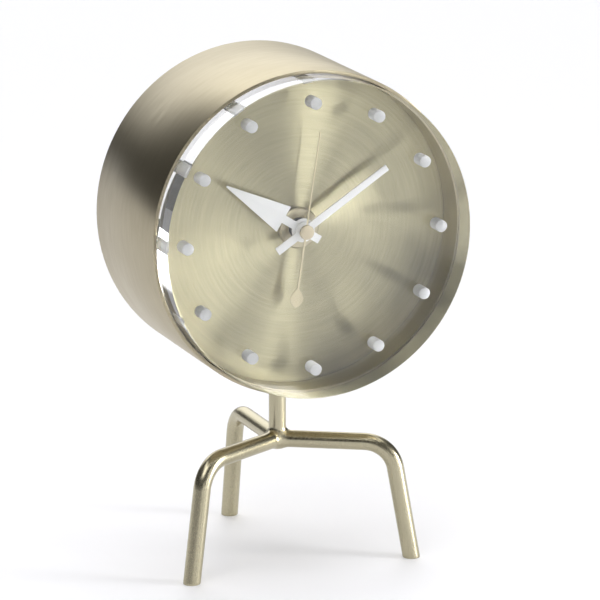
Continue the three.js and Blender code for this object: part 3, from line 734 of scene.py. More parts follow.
def soften(piece: Piece, width: float, crease: float = 35.0, flat: float = 1.0) -> None:
    """Rounds a piece's sharp edges.

    Args:
        piece: the piece.
        width: the width of the rounding, in metres.
        crease: the least angle of an edge that is rounded, in degrees.
        flat: the angle below which neighbouring faces are first made one, in degrees.
    """
    with edited(piece.data) as made:
        bmesh.ops.dissolve_limit(
            made, angle_limit=math.radians(flat), verts=made.verts, edges=made.edges
        )
    step = piece.modifiers.new("soften", "BEVEL")
    step.width = width
    step.segments = 2
    step.limit_method = "ANGLE"
    step.angle_limit = math.radians(crease)
    step.harden_normals = False
    baked(piece)
    smooth(piece.data, crease)


def disc(
    radius: float, low: float, high: float, sides: int = Sides.PIPE, hole: float = 0.0,
    name: str = "disc",
) -> Piece:
    """Makes a plain cylinder on the Z axis: a boss, a drill, or a washer where it has a hole.

    Args:
        radius: its radius.
        low: the height where it begins.
        high: the height where it ends.
        sides: its flats.
        hole: the radius of its hole.
        name: the piece's name.

    Returns:
        The cylinder.
    """
    profile = [(hole, low), (radius, low), (radius, high), (hole, high)]
    return revolve(name, profile, sides, closed=hole > 0)


def mirrored(right: Outline) -> list[tuple[float, float]]:
    """Closes a plate's right side, given from its foot to its tip, with the mirrored left one."""
    left = [(-x, y) for x, y in reversed(right)]
    return [left[-1], *right, *left[:-1]]


def dress(piece: Piece, finish: Finish) -> None:
    """Gives a piece one finish all over."""
    piece.data.materials.clear()
    piece.data.materials.append(finish.material())


def copy_of_node(name: str, node: str, gap: float = 1e-7) -> Piece:
    """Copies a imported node's mesh into a new piece, closed again and free of its packed normals.

    Args:
        name: the new piece's name.
        node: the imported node.
        gap: how far apart two points may lie and still be one, in metres.

    Returns:
        The new piece, in its place in the frame.
    """
    source = next(o for o in bpy.data.objects if o.get("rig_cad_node") == node)
    mesh = source.data.copy()
    mesh.materials.clear()
    with edited(mesh) as made:
        bmesh.ops.remove_doubles(made, verts=made.verts, dist=gap)
    for layer in list(mesh.attributes):
        if layer.name.startswith("custom_normal"):
            mesh.attributes.remove(layer)
    return new_object(name, mesh)


@dataclass
class Assembly:
    """Pieces that are built together; the head matrix places those drawn on the drum's axis."""

    head: Matrix

    def build(self) -> None:
        """Builds the pieces, dresses them and sets them on their bodies."""
        raise NotImplementedError

    def heights(self, node: str) -> tuple[float, float]:
        """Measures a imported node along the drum's axis.

        Args:
            node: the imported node.

        Returns:
            Its rear and front heights from the plane of the drum's front rim.
        """
        low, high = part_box(node)
        rim = self.head.translation.y
        return rim - high.y, rim - low.y

    def span(self, node: str) -> tuple[float, float, float]:
        """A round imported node's radius, and its rear and front heights from the rim's plane."""
        low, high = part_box(node)
        return (high.x - low.x) / 2, *self.heights(node)

    def centre(self, node: str) -> Vector:
        """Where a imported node's middle lies to the right of the drum's axis and above it."""
        low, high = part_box(node)
        return Vector(((low.x + high.x) / 2, (low.z + high.z) / 2 - self.head.translation.z, 0))

    def settle(
        self, piece: Piece, finish: Finish, body: Body, *nodes: str, matrix: Matrix | None = None
    ) -> None:
        """Dresses a piece, puts it in its place and lets it ride.

        Args:
            piece: the new piece.
            finish: its finish.
            body: the body that carries it.
            nodes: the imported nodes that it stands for.
            matrix: its place in the frame, where it isn't drawn there already.
        """
        dress(piece, finish)
        if matrix is not None:
            piece.matrix_world = matrix
        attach(piece, body.value)
        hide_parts(*nodes)
        LOG.info("%s rides on %s", piece.name, body.value)

    def on_head(self, piece: Piece, finish: Finish, body: Body, *nodes: str) -> None:
        """Settles a piece that is drawn on the drum's axis."""
        self.settle(piece, finish, body, *nodes, matrix=self.head)


# Stand


@dataclass
class Tripod(Assembly):
    """The stem and its three bent legs, welded into one piece."""

    rod: float = 3.6 * MM
    hub_height: float = 49.1 * MM
    knee_reach: float = 47.5 * MM
    foot_reach: float = 56.3 * MM
    bend: float = 13 * MM
    leg_angles: tuple[float, ...] = (210, 330, 90)
    weld: float = 2.2 * MM
    foot_edge: float = 0.5 * MM
    stud: float = 2.5 * MM
    sink: float = 0.3 * MM
    crease: float = 50.0
    cell: float = 0.5 * MM
    bend_steps: int = 10
    rod_sides: int = 32
    foot_spare: float = 0.1
    passes: int = 12
    pull: float = 0.9
    least_slope: float = 0.05
    nudge: float = 0.001 * MM
    axis: Vector = field(init=False)
    stem_top: float = field(init=False)
    drop: float = field(init=False)
    bend_start: float = field(init=False)

    def build(self) -> None:
        """Builds the welded stand round the stem's axis."""
        low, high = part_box("stem")
        self.axis = Vector(((low.x + high.x) / 2, (low.y + high.y) / 2, 0.0))
        self.stem_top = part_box("drum_shell")[0].z + self.sink
        self.drop = math.atan2(self.hub_height, self.foot_reach - self.knee_reach)
        self.bend_start = self.knee_reach - self.bend * math.tan(self.drop / 2)
        piece = self.blank()
        self.wrap(piece)
        smooth(piece.data, self.crease)
        stud = disc(self.stud, self.stem_top - self.rod, high.z)
        stud.data.transform(Matrix.Translation(self.axis))
        with edited(piece.data) as made:
            made.from_mesh(stud.data)
        bpy.data.objects.remove(stud)
        self.settle(piece, ROD_BRASS, Body.CASE, "stem", "leg_left", "leg_right", "leg_back")

    def leg_line(self, angle: float) -> list[Vector]:
        """A leg's centre line, from the hub over its bend to a little below the table.

        Args:
            angle: the leg's direction, in degrees.

        Returns:
            Its points, about the stem's axis.
        """
        out = Vector((math.cos(math.radians(angle)), math.sin(math.radians(angle)), 0))
        line = [Vector((0, 0, self.hub_height))]
        for i in range(self.bend_steps + 1):
            turn = math.pi / 2 - self.drop * i / self.bend_steps
            reach = self.bend_start + self.bend * math.cos(turn)
            rise = self.hub_height + self.bend * (math.sin(turn) - 1)
            line.append(out * reach + Vector((0, 0, rise)))
        line.append(out * self.foot_reach)
        run = (self.foot_reach - self.knee_reach) * self.foot_spare
        fall = Vector((0, 0, self.hub_height * self.foot_spare))
        line.append(out * (self.foot_reach + run) - fall)
        return line

    def blank(self) -> Piece:
        """Makes a rough solid of plain rods with even faces.

        Returns:
            The remeshed blank, about the stem's axis moved to the frame's own.
        """
        piece = new_object("welded_tripod", bpy.data.meshes.new("welded_tripod"))
        lines = [[Vector((0, 0, self.hub_height)), Vector((0, 0, self.stem_top))]]
        lines += [self.leg_line(angle) for angle in self.leg_angles]
        with edited(piece.data) as made:
            for line in lines:
                for start, end in zip(line, line[1:]):
                    along = end - start
                    turn = along.to_track_quat("Z", "Y").to_matrix().to_4x4()
                    bmesh.ops.create_cone(
                        made, cap_ends=True, segments=self.rod_sides, radius1=self.rod,
                        radius2=self.rod, depth=along.length,
                        matrix=Matrix.Translation((start + end) / 2) @ turn,
                    )
                for corner in line:
                    bmesh.ops.create_icosphere(
                        made, subdivisions=3, radius=self.rod, matrix=Matrix.Translation(corner)
                    )
        step = piece.modifiers.new("even", "REMESH")
        step.mode = "VOXEL"
        step.voxel_size = self.cell
        baked(piece)
        return piece

    def wrap(self, piece: Piece) -> None:
        """Moves every point of the blank onto the true surface, with its welds and cut feet.

        Each pass moves a point down the slope of its distance from the surface, most of the way.

        Args:
            piece: the blank, which is then set on the stem's axis.
        """
        mesh = piece.data
        places = np.empty(len(mesh.vertices) * 3)
        mesh.vertices.foreach_get("co", places)
        places = places.reshape(-1, 3)
        for _ in range(self.passes):
            height = self.surface(places)
            moved = [self.surface(places + self.nudge * axis) for axis in np.eye(3)]
            slope = np.stack([(level - height) / self.nudge for level in moved], axis=1)
            steep = np.maximum((slope**2).sum(axis=1, keepdims=True), self.least_slope)
            step = np.clip(height, -self.rod, self.rod)[:, None]
            places -= step * slope / steep * self.pull
        places[:, 2] = np.maximum(places[:, 2], 0.0)
        mesh.vertices.foreach_set("co", (places + np.array(self.axis)).ravel())
        mesh.update()

    def surface(self, places: np.ndarray) -> np.ndarray:
        """How far points lie from the welded stand's surface.

        Args:
            places: points about the stem's axis, one in each row.

        Returns:
            The distances, below zero inside.
        """
        x, y, z = places.T
        stem_z = np.clip(z, self.hub_height, self.stem_top)
        found = np.sqrt(x**2 + y**2 + (z - stem_z) ** 2) - self.rod
        for angle in self.leg_angles:
            turn = math.radians(angle)
            out = x * math.cos(turn) + y * math.sin(turn)
            side = -x * math.sin(turn) + y * math.cos(turn)
            found = soft_least(found, self.leg_distance(out, side, z) - self.rod, self.weld)
        found = np.maximum(found, z - self.stem_top)
        return -soft_least(-found, z, self.foot_edge)

    def leg_distance(self, out: np.ndarray, side: np.ndarray, z: np.ndarray) -> np.ndarray:
        """How far points lie from a leg's centre line.

        Args:
            out: the points' distance from the stem along the leg.
            side: their distance to the leg's side.
            z: their height.

        Returns:
            The distances.
        """
        level = np.hypot(out - np.clip(out, 0, self.bend_start), z - self.hub_height)
        centre_z = self.hub_height - self.bend
        along = np.arctan2(z - centre_z, out - self.bend_start)
        along = np.clip(along, math.pi / 2 - self.drop, math.pi / 2)
        bend_out = self.bend_start + self.bend * np.cos(along)
        curve = np.hypot(out - bend_out, z - centre_z - self.bend * np.sin(along))
        knee_out = self.bend_start + self.bend * math.sin(self.drop)
        knee_z = centre_z + self.bend * math.cos(self.drop)
        down = (math.cos(self.drop), -math.sin(self.drop))
        reach = np.maximum((out - knee_out) * down[0] + (z - knee_z) * down[1], 0)
        straight = np.hypot(out - knee_out - reach * down[0], z - knee_z - reach * down[1])
        flat = np.minimum(np.minimum(level, curve), straight)
        return np.hypot(flat, side)


def soft_least(first: np.ndarray, second: np.ndarray, width: float) -> np.ndarray:
    """The lesser of two distances, with a fillet where they meet.

    Args:
        first: distances to one surface.
        second: distances to the other.
        width: how far the fillet reaches.

    Returns:
        The blended distances.
    """
    share = np.maximum(width - np.abs(first - second), 0) / width
    return np.minimum(first, second) - share**2 * width / 4


# Drum, lens and dial


@dataclass
class Drum(Assembly):
    """The brushed shell with its clear lens, spacer ring, dial and round nut."""

    wall: float = 1.5 * MM
    rim_round: float = 0.25 * MM
    lens_chamfer: float = 0.4 * MM
    ring_wall: float = 0.6 * MM
    neck_hole: float = 4.3 * MM
    nut_recess: float = 4.9 * MM
    nut_recess_depth: float = 1.1 * MM
    nut_chamfer: float = 0.5 * MM
    stud_room: float = 2.8 * MM

    def build(self) -> None:
        """Builds the shell and what sits inside its front."""
        self.build_shell()
        self.build_lens()
        self.build_washer("spacer_ring", "dial_ring", PLAIN_BRASS)
        self.build_washer("brushed_dial", "dial", DIAL_BRASS, self.neck_hole)
        self.build_nut()

    def build_shell(self) -> None:
        """The drum's wall, with both rims a little rounded and a hole for the stem's stud."""
        radius, back, front = self.span("drum_shell")
        bore = radius - self.wall
        edge = self.rim_round
        rounded = [
            (edge * (1 - math.cos(angle)), edge * (1 - math.sin(angle)))
            for angle in (0, math.pi / 4, math.pi / 2)
        ]
        profile = [(radius - x, back + y) for x, y in reversed(rounded)]
        profile += [(radius - x, front - y) for x, y in rounded]
        profile += [(bore + x, front - y) for x, y in reversed(rounded)]
        profile += [(bore + x, back + y) for x, y in rounded]
        shell = revolve("drum_shell_brushed", profile, Sides.DRUM)
        drill = disc(self.stud_room, bore - 2 * self.wall, radius + self.wall)
        place = Matrix.Translation((0, 0, sum(self.heights("stem")) / 2))
        drill.data.transform(place @ Matrix.Rotation(math.pi / 2, 4, "X"))
        combine(shell, drill, Cut.REMOVE)
        smooth(shell.data)
        self.on_head(shell, DRUM_BRASS, Body.CASE, "drum_shell")

    def build_lens(self) -> None:
        """The thick clear lens, polished all over, with a fine chamfer round its front."""
        radius, back, front = self.span("lens")
        cut = self.lens_chamfer
        profile = [(0, back), (radius, back), (radius, front - cut)]
        profile += [(radius - cut, front), (0, front)]
        lens = revolve("clear_lens", profile, Sides.DRUM, closed=False)
        self.on_head(lens, ACRYLIC, Body.CASE, "lens")

    def build_washer(self, name: str, node: str, finish: Finish, hole: float = 0.0) -> None:
        """Builds the ring that holds the lens off the dial, or the dial with its hole.

        Args:
            name: the piece's name.
            node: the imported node.
            finish: its finish.
            hole: the radius of its hole, where it isn't a ring with the ring's wall.
        """
        radius, back, front = self.span(node)
        piece = disc(radius, back, front, Sides.DRUM, hole or radius - self.ring_wall, name)
        self.on_head(piece, finish, Body.CASE, node)

    def build_nut(self) -> None:
        """The round nut that holds the dial on the movement's neck."""
        radius, back, front = self.span("dial_nut")
        cut, recess = self.nut_chamfer, self.nut_recess
        floor = front - self.nut_recess_depth
        profile = [(self.neck_hole, back), (radius, back), (radius, front - cut)]
        profile += [(radius - cut, front), (recess + cut / 2, front), (recess, front - cut / 2)]
        profile += [(recess, floor), (self.neck_hole, floor)]
        nut = revolve("dial_nut_turned", profile, Sides.PIPE)
        self.on_head(nut, PLAIN_BRASS, Body.CASE, "dial_nut")


@dataclass
class HourPegs(Assembly):
    """Twelve white pegs in the lens, each with the point of the drill that made its hole."""

    count: int = 12
    radius: float = 2.45 * MM
    point: float = 0.8 * MM
    edge: float = 0.15 * MM
    back_off: float = 0.05 * MM

    def build(self) -> None:
        """Builds a peg for each hour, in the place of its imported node."""
        for hour in range(1, self.count + 1):
            node = f"hour_peg_{hour:02d}"
            back, front = self.heights(node)
            back += self.back_off
            shoulder = front - self.point
            profile = [(0, back), (self.radius, back), (self.radius, shoulder - self.edge)]
            profile += [(self.radius - self.edge, shoulder), (0, front)]
            peg = revolve(f"peg_{hour:02d}", profile, Sides.PEG, closed=False)
            peg.data.transform(Matrix.Translation(self.centre(node)))
            self.on_head(peg, FROSTED, Body.CASE, node)


# Hands


@dataclass(frozen=True)
class FlatHand:
    """A stamped hand: its right side from tail to tip, its boss and hole, and where it points."""

    node: str
    body: Body
    side: Outline
    boss: float
    hole: float
    angle: float


HOUR_HAND = FlatHand(
    "hour_hand", Body.HOUR,
    side=((1.7 * MM, -8.5 * MM), (1.7 * MM, 10 * MM), (5.8 * MM, 10 * MM), (0.35 * MM, 39 * MM)),
    boss=4.9 * MM, hole=2.4 * MM, angle=302.4,
)
MINUTE_HAND = FlatHand(
    "minute_hand", Body.MINUTE, side=((1.65 * MM, -14 * MM), (1.35 * MM, 43 * MM)),
    boss=3.8 * MM, hole=1.45 * MM, angle=57,
)


@dataclass
class Hands(Assembly):
    """The three hands and the cap on the second hand's shaft, drawn pointing to twelve."""

    edge: float = 0.06 * MM
    second_tip: float = 41.5 * MM
    second_tip_width: float = 0.45 * MM
    second_root_width: float = 0.9 * MM
    second_tail: float = 31.5 * MM
    second_boss: float = 1.8 * MM
    second_angle: float = 8.6
    leaf_length: float = 8.3 * MM
    leaf_width: float = 5.8 * MM
    leaf_belly: float = 1.35
    leaf_fullness: float = 0.75
    leaf_spacing: float = 0.9
    leaf_steps: int = 12
    cap: float = 3 * MM
    cap_round: float = 0.2 * MM
    cap_steps: int = 3

    def build(self) -> None:
        """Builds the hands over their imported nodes."""
        self.build_flat_hand(HOUR_HAND)
        self.build_flat_hand(MINUTE_HAND)
        self.build_second_hand()
        self.build_cap()

    def build_flat_hand(self, shape: FlatHand) -> None:
        """Builds a white hand with its boss and hole, turned to its hour.

        Args:
            shape: the hand's outline and sizes.
        """
        low, high = self.heights(shape.node)
        hand = extrude(f"{shape.node}_white", mirrored(shape.side), low, high)
        combine(hand, disc(shape.boss, low, high), Cut.JOIN)
        combine(hand, disc(shape.hole, low - shape.boss, high + shape.boss), Cut.REMOVE)
        soften(hand, self.edge)
        hand.data.transform(Matrix.Rotation(-math.radians(shape.angle), 4, "Z"))
        self.on_head(hand, HAND_WHITE, shape.body, shape.node)

    def build_second_hand(self) -> None:
        """A fine needle with a leaf for its counterweight."""
        low, high = self.heights("second_hand")
        foot = self.leaf_length / 2 - self.second_tail
        side = [(self.second_root_width / 2, foot), (self.second_tip_width / 2, self.second_tip)]
        needle = extrude("second_hand_gilt", mirrored(side), low, high)
        combine(needle, extrude("leaf", self.leaf(), low, high), Cut.JOIN)
        combine(needle, disc(self.second_boss, low, high), Cut.JOIN)
        needle.data.transform(Matrix.Rotation(-math.radians(self.second_angle), 4, "Z"))
        smooth(needle.data)
        self.on_head(needle, GILT, Body.SECOND, "second_hand")

    def leaf(self) -> list[tuple[float, float]]:
        """Draws the counterweight, round towards the hub and pointed at its end.

        Returns:
            Its outline.
        """
        right = []
        for i in range(self.leaf_steps, -1, -1):
            share = i / self.leaf_steps
            swell = math.sin(math.pi * share**self.leaf_belly) if 0 < share < 1 else 0.0
            rise = self.leaf_length * (1 - share) ** self.leaf_spacing
            width = self.leaf_width / 2 * swell**self.leaf_fullness
            right.append((width, rise - self.second_tail))
        return right + [(-x, y) for x, y in right[-2:0:-1]]

    def build_cap(self) -> None:
        """The brass cap over the hands' centre."""
        low, high = self.heights("hub_cap")
        profile = [(0, low), (self.cap, low)]
        for i in range(self.cap_steps + 1):
            angle = math.pi / 2 * i / self.cap_steps
            inset = self.cap_round * (1 - math.cos(angle))
            profile.append((self.cap - inset, high - self.cap_round * (1 - math.sin(angle))))
        profile.append((0, high))
        cap = revolve("hub_cap_turned", profile, Sides.PIPE, closed=False)
        self.on_head(cap, CAP_BRASS, Body.SECOND, "hub_cap")


# Back of the clock


@dataclass
class Back(Assembly):
    """The spun rear cover, its screws and the parts of the movement that show in its well.

    The crown is a screw's profile in shares of its head and dome. The rims and the nub are the
    cell's: rims from the middle outwards, in shares of its radius.
    """

    wall: float = 0.8 * MM
    fillet: float = 2.4 * MM
    fillet_steps: int = 6
    floor_radius: float = 43.0 * MM
    mouth_radius: float = 45.0 * MM
    room: float = 0.3 * MM
    window_corner: float = 3.3 * MM
    screws: tuple[str, ...] = ("cover_screw_1", "cover_screw_2", "cover_screw_3")
    screw_head: float = 2 * MM
    screw_slot: float = 0.5 * MM
    screw_slot_depth: float = 0.6 * MM
    screw_dome: float = 0.35 * MM
    crown: Outline = ((0, 0), (0.55, 0.12), (0.9, 0.6), (1, 2))
    housing_edge: float = 0.35 * MM
    knob_edge: float = 0.25 * MM
    cell_edge: float = 0.35 * MM
    cell_dish: float = 0.3
    rear_rim: tuple[float, float] = (0.72, 0.78)
    front_rim: tuple[float, float] = (0.76, 0.8)
    nub: float = 2.75 * MM
    nub_length: float = 1.3 * MM

    def build(self) -> None:
        """Builds the back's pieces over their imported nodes."""
        self.build_cover()
        for node in self.screws:
            self.build_screw(node)
        self.build_moulded("movement_housing", Body.CASE, self.housing_edge)
        self.build_moulded("set_knob", Body.SETTING, self.knob_edge, crease=50.0)
        self.build_cell()

    def build_cover(self) -> None:
        """A spun dish with a well round the movement, and a window in the well's floor."""
        radius, back, floor = self.span("rear_cover")
        floor_back = floor - self.wall
        across, along = self.mouth_radius + self.fillet, back + self.fillet
        outer, inner = [], []
        for i in range(self.fillet_steps + 1):
            angle = math.pi + math.pi / 2 * i / self.fillet_steps
            for kept, size in ((outer, self.fillet), (inner, self.fillet - self.wall)):
                kept.append((across + size * math.cos(angle), along + size * math.sin(angle)))
        profile = [(0, floor_back), (self.floor_radius, floor_back), *outer, (radius, back)]
        profile += [(radius, back + self.wall), *reversed(inner)]
        profile += [(self.floor_radius + self.wall, floor), (0, floor)]
        cover = revolve("rear_cover_spun", profile, Sides.DRUM, closed=False)
        low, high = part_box("movement_housing")
        window = rounded_box(
            (high.x - low.x) / 2 + self.room, (high.z - low.z) / 2 + self.room, self.window_corner
        )
        tool = extrude("window", window, floor_back - self.wall, floor + self.wall)
        combine(cover, tool, Cut.REMOVE)
        for node in self.screws:
            drill = disc(self.screw_head / 2 + self.room, back - self.wall, back + 2 * self.wall)
            drill.data.transform(Matrix.Translation(self.centre(node)))
            combine(cover, drill, Cut.REMOVE)
        smooth(cover.data)
        self.on_head(cover, DRUM_BRASS, Body.CASE, "rear_cover")

    def build_screw(self, node: str) -> None:
        """Builds a screw with a low domed head and a cross slot.

        Args:
            node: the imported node, which it stands for.
        """
        back, front = self.heights(node)
        head, half = self.screw_head, self.screw_slot / 2
        seat = back + 2 * self.screw_slot_depth
        profile = [(head * across, back + self.screw_dome * up) for across, up in self.crown]
        profile += [(head, seat), (head / 2, seat), (head / 2, front), (0, front)]
        screw = revolve(f"{node}_steel", profile, Sides.SCREW, closed=False)
        for across, up in ((head, half), (half, head)):
            outline = mirrored([(across, -up), (across, up)])
            slot = extrude("slot", outline, back - self.wall, back + self.screw_slot_depth)
            combine(screw, slot, Cut.REMOVE)
        smooth(screw.data)
        screw.data.transform(Matrix.Translation(self.centre(node)))
        self.on_head(screw, STEEL, Body.CASE, node)

    def build_moulded(self, node: str, body: Body, edge: float, crease: float = 35.0) -> None:
        """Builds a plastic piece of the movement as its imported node, with moulded edges.

        Args:
            node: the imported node.
            body: the body that carries it.
            edge: the width of its rounded edges.
            crease: the least angle of an edge that is rounded, in degrees.
        """
        piece = copy_of_node(f"{node}_moulded", node)
        soften(piece, edge, crease)
        self.settle(piece, BLACK_PLASTIC, body, node)

    def build_cell(self) -> None:
        """The cell, with its jacket turned in over both ends and a nub at the right."""
        low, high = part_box("battery")
        radius, length, edge, nub = (high.z - low.z) / 2, high.x - low.x, self.cell_edge, self.nub
        body, dish = length - self.nub_length, self.cell_dish * edge
        rear, rear_top = (radius * share for share in self.rear_rim)
        front, front_top = (radius * share for share in self.front_rim)
        profile = [(0, dish), (rear, dish), (rear_top, 0), (radius - edge, 0), (radius, edge)]
        profile += [(radius, body - edge), (radius - edge, body), (front_top, body)]
        profile += [(front, body - edge), (nub + 2 * edge, body - edge), (nub, body)]
        profile += [(nub, length - edge), (nub - edge, length), (0, length)]
        cell = revolve("dry_cell", profile, Sides.PIPE, closed=False)
        cell.data.transform(Matrix.Rotation(math.pi / 2, 4, "Y"))
        place = Vector((low.x, (low.y + high.y) / 2, (low.z + high.z) / 2))
        self.settle(cell, JACKET, Body.CELL, "battery", matrix=Matrix.Translation(place))


def rounded_box(
    across: float, up: float, corner: float, steps: int = 6
) -> list[tuple[float, float]]:
    """Draws a rectangle's outline with rounded corners.

    Args:
        across: half its width.
        up: half its height.
        corner: the radius of its corners.
        steps: the segments of a corner.

    Returns:
        Its corners in order.
    """
    outline = []
    for quarter, (x, y) in enumerate(((1, 1), (-1, 1), (-1, -1), (1, -1))):
        for i in range(steps + 1):
            angle = math.pi / 2 * (quarter + i / steps)
            right, top = x * (across - corner), y * (up - corner)
            outline.append((right + corner * math.cos(angle), top + corner * math.sin(angle)))
    return outline


@dataclass
class Works:
    """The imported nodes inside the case, which keep their own shapes."""

    finishes: tuple[tuple[Finish, tuple[str, ...]], ...] = (
        (PLAIN_BRASS, ("dial_seat_ring", "cover_seat_ring")),
        (CAP_BRASS, ("minute_pipe",)),
        (RUBBER, ("cushion_washer",)),
        (BLACK_PLASTIC, ("movement_front_plate",)),
        (WHITE_PLASTIC, ("movement_middle_plate", "hour_wheel", "minute_wheel", "set_shaft")),
        (WHITE_PLASTIC, ("centre_wheel", "third_wheel", "step_wheel")),
        (STEEL, ("stem_washer", "stem_nut", "second_wheel", "rotor", "stator")),
        (STEEL, ("contact_minus", "contact_plus")),
        (COPPER, ("coil",)),
        (BOARD, ("circuit_board",)),
    )

    def build(self, nodes: dict[str, Piece]) -> None:
        """Dresses the nodes that stay.

        Args:
            nodes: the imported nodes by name.
        """
        for finish, names in self.finishes:
            for name in names:
                dress(nodes[name], finish)
                LOG.info("%s keeps its shape", name)


# Studio


def direction(azimuth: float, elevation: float) -> Vector:
    """Points from the clock into the room.

    Args:
        azimuth: 0 on the reader's side of the dial, growing towards their right, in degrees.
        elevation: the angle above the table, in degrees.

    Returns:
        The direction, one long.
    """
    turn, rise = math.radians(azimuth), math.radians(elevation)
    flat = math.cos(rise)
    return Vector((math.sin(turn) * flat, -math.cos(turn) * flat, math.sin(rise)))


@dataclass(frozen=True)
class SoftBox:
    """A far soft box: a bright part of the room with soft edges, its place and size in degrees."""

    name: str
    azimuth: float
    elevation: float
    width: float
    height: float
    strength: float
    edge: float = 6.0


@dataclass(frozen=True)
class Panel:
    """A soft box near the clock, which faces the dial's middle and is placed from there."""

    name: str
    azimuth: float
    elevation: float
    distance: float
    width: float
    height: float
    strength: float


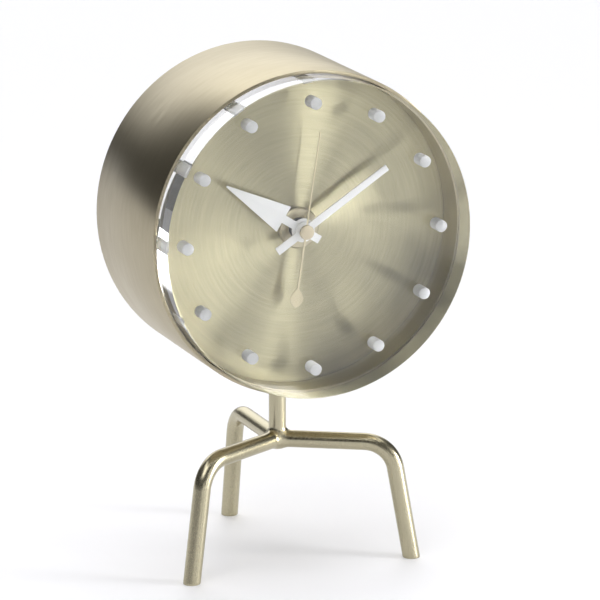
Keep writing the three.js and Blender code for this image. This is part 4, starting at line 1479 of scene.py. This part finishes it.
@dataclass
class Studio:
    """Camera, pale floor, soft boxes and the light of the room."""

    azimuth: float = -21.84
    elevation: float = 14.25
    distance: float = 1766.8 * MM
    aim_height: float = 144 * MM
    aim_right: float = 9.38 * MM
    aim_up: float = -34.69 * MM
    lens: float = 258.6
    sensor: float = 36.0
    near: float = 0.05
    floor_half: float = 6.0
    floor_cells: int = 8
    floor_colour: Colour = (0.70, 0.70, 0.73)
    floor_roughness: float = 0.6
    floor_lift: float = 0.2
    room: float = 0.08
    # Azimuth, elevation, width, height, strength and edge of each box.
    boxes: tuple[SoftBox, ...] = (
        SoftBox("top", 0, 90, 360, 60, 2.35, 10),
        SoftBox("back", 167, 35, 60, 50, 1.8, 16),
        SoftBox("front_left", -45, 50, 46, 24, 2.5, 10),
        SoftBox("front", -4, 4, 22, 14, 1.2),
        SoftBox("front_right", 25, 6, 7, 14, 6.5, 3),
        SoftBox("front_right_high", 28, 24, 9, 22, 1.6, 4),
    )
    panels: tuple[Panel, ...] = (
        Panel("right", 58, 3, distance=0.8, width=0.22, height=0.40, strength=19.0),
    )

    def basis(self) -> tuple[Vector, Vector, Vector]:
        """Turns the camera's angles into its axes.

        Returns:
            Its right, up and backward directions.
        """
        back = direction(self.azimuth, self.elevation)
        turn = math.radians(self.azimuth)
        right = Vector((math.cos(turn), math.sin(turn), 0))
        return right, back.cross(right), back

    def build(self, stem: Vector, dial: Vector) -> None:
        """Builds the studio round the stem's axis.

        Args:
            stem: a point on the stem's axis.
            dial: the middle of the dial.
        """
        self.build_camera(Vector((stem.x, stem.y, self.aim_height)))
        self.build_floor()
        self.build_room()
        for panel in self.panels:
            self.build_panel(panel, dial)

    def build_camera(self, centre: Vector) -> None:
        """Sets the camera at the photograph's viewpoint.

        Args:
            centre: the point it is measured from.
        """
        right, up, back = self.basis()
        aim = centre + right * self.aim_right + up * self.aim_up
        data = bpy.data.cameras.new("camera")
        data.lens = self.lens
        data.sensor_width = self.sensor
        data.clip_start = self.near
        camera = new_object("camera", data)
        turn = Matrix((right, up, back)).transposed().to_4x4()
        camera.matrix_world = Matrix.Translation(aim + back * self.distance) @ turn
        bpy.context.scene.camera = camera

    def build_floor(self) -> None:
        """A wide pale floor, which is white to the camera where nothing shades it."""
        floor = new_object("floor", bpy.data.meshes.new("floor"))
        cells = self.floor_cells
        with edited(floor.data) as made:
            bmesh.ops.create_grid(made, x_segments=cells, y_segments=cells, size=self.floor_half)
        material = bpy.data.materials.new("pale_floor")
        canvas = Canvas.blank(material)
        shader = canvas.add("ShaderNodeBsdfPrincipled")
        path = canvas.add("ShaderNodeLightPath")
        seen = canvas.math("ADD", path.outputs["Is Camera Ray"], path.outputs["Is Glossy Ray"])
        seen = canvas.math("ADD", seen, path.outputs["Is Transmission Ray"])
        lift = canvas.math("MULTIPLY", canvas.math("MINIMUM", seen, 1.0), self.floor_lift)
        canvas.fill(shader, base_color=(*self.floor_colour, 1.0), roughness=self.floor_roughness)
        canvas.fill(shader, emission_color=WHITE, emission_strength=lift)
        canvas.finish(shader)
        floor.data.materials.append(material)

    def build_room(self) -> None:
        """The room's even light and soft boxes, and white where the camera sees past the floor."""
        world = bpy.data.worlds.new("studio")
        bpy.context.scene.world = world
        canvas = Canvas.blank(world)
        place = canvas.add("ShaderNodeTexCoord").outputs["Generated"]
        x, y, z = canvas.add("ShaderNodeSeparateXYZ", place).outputs
        turn = canvas.math("ARCTAN2", x, canvas.math("MULTIPLY", y, -1.0))
        rise = canvas.math("ARCSINE", z)
        level = self.room
        for box in self.boxes:
            mask = self.box_mask(canvas, turn, rise, box)
            level = canvas.math("MULTIPLY_ADD", mask, box.strength, level)
        seen = canvas.add("ShaderNodeLightPath").outputs["Is Camera Ray"]
        rest = canvas.math("MULTIPLY", canvas.math("SUBTRACT", 1.0, seen), level)
        shade = canvas.add("ShaderNodeBackground")
        canvas.fill(shade, color=WHITE, strength=canvas.math("ADD", rest, seen))
        canvas.finish(shade, "ShaderNodeOutputWorld")

    def build_panel(self, panel: Panel, dial: Vector) -> None:
        """Places a near soft box.

        Args:
            panel: its place, size and brightness.
            dial: the middle of the dial.
        """
        away = direction(panel.azimuth, panel.elevation)
        data = bpy.data.lights.new(panel.name, "AREA")
        data.shape = "RECTANGLE"
        data.size = panel.width
        data.size_y = panel.height
        data.energy = panel.strength * panel.width * panel.height * math.pi
        box = new_object(panel.name, data)
        turn = away.to_track_quat("Z", "Y").to_matrix().to_4x4()
        box.matrix_world = Matrix.Translation(dial + away * panel.distance) @ turn
        box.visible_camera = False

    @staticmethod
    def box_mask(canvas: Canvas, turn: Socket, rise: Socket, box: SoftBox) -> Socket:
        """Draws where a soft box shows.

        Args:
            canvas: the room's tree.
            turn: the azimuth of a direction.
            rise: its elevation.
            box: the soft box.

        Returns:
            A mask, 1 inside the box, which falls to 0 across its soft edge.
        """
        apart = canvas.math("SUBTRACT", turn, math.radians(box.azimuth))
        apart = canvas.math("ABSOLUTE", canvas.math("WRAP", apart, math.pi, -math.pi))
        above = canvas.math("ABSOLUTE", canvas.math("SUBTRACT", rise, math.radians(box.elevation)))
        masks = []
        for distance, size in ((apart, box.width), (above, box.height)):
            near, far = (math.radians(size / 2 + side * box.edge / 2) for side in (-1, 1))
            ramp = canvas.add(
                "ShaderNodeMapRange", interpolation_type="SMOOTHSTEP", label=box.name
            )
            canvas.fill(ramp, value=distance, from_min=near, from_max=far, to_min=1.0, to_max=0.0)
            masks.append(ramp.outputs[0])
        return canvas.math("MULTIPLY", *masks)


def head_matrix() -> Matrix:
    """Places the drum's front rim: X right, Y up and Z towards the reader of the dial.

    Returns:
        The matrix from there to the frame.
    """
    low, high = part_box("drum_shell")
    centre = Vector(((low.x + high.x) / 2, low.y, (low.z + high.z) / 2))
    return Matrix.Translation(centre) @ Matrix.Rotation(math.pi / 2, 4, "X")


def main() -> None:
    """Builds the clock in order: camera and studio, stand, drum, pegs, hands, back and works."""
    logging.basicConfig(level=logging.INFO, format="%(name)s: %(message)s")
    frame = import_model()
    head = head_matrix()
    bpy.context.scene.view_settings.view_transform = "Standard"
    bpy.context.scene.cycles.glossy_bounces = LENS_BOUNCES
    bpy.context.scene.cycles.blur_glossy = 0.0
    stem_low, stem_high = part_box("stem")
    dial_low, dial_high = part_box("dial")
    Studio().build((stem_low + stem_high) / 2, (dial_low + dial_high) / 2)
    for part in (Tripod(head), Drum(head), HourPegs(head), Hands(head), Back(head)):
        part.build()
    Works().build(frame["nodes"])


if __name__ == "__main__":
    main()
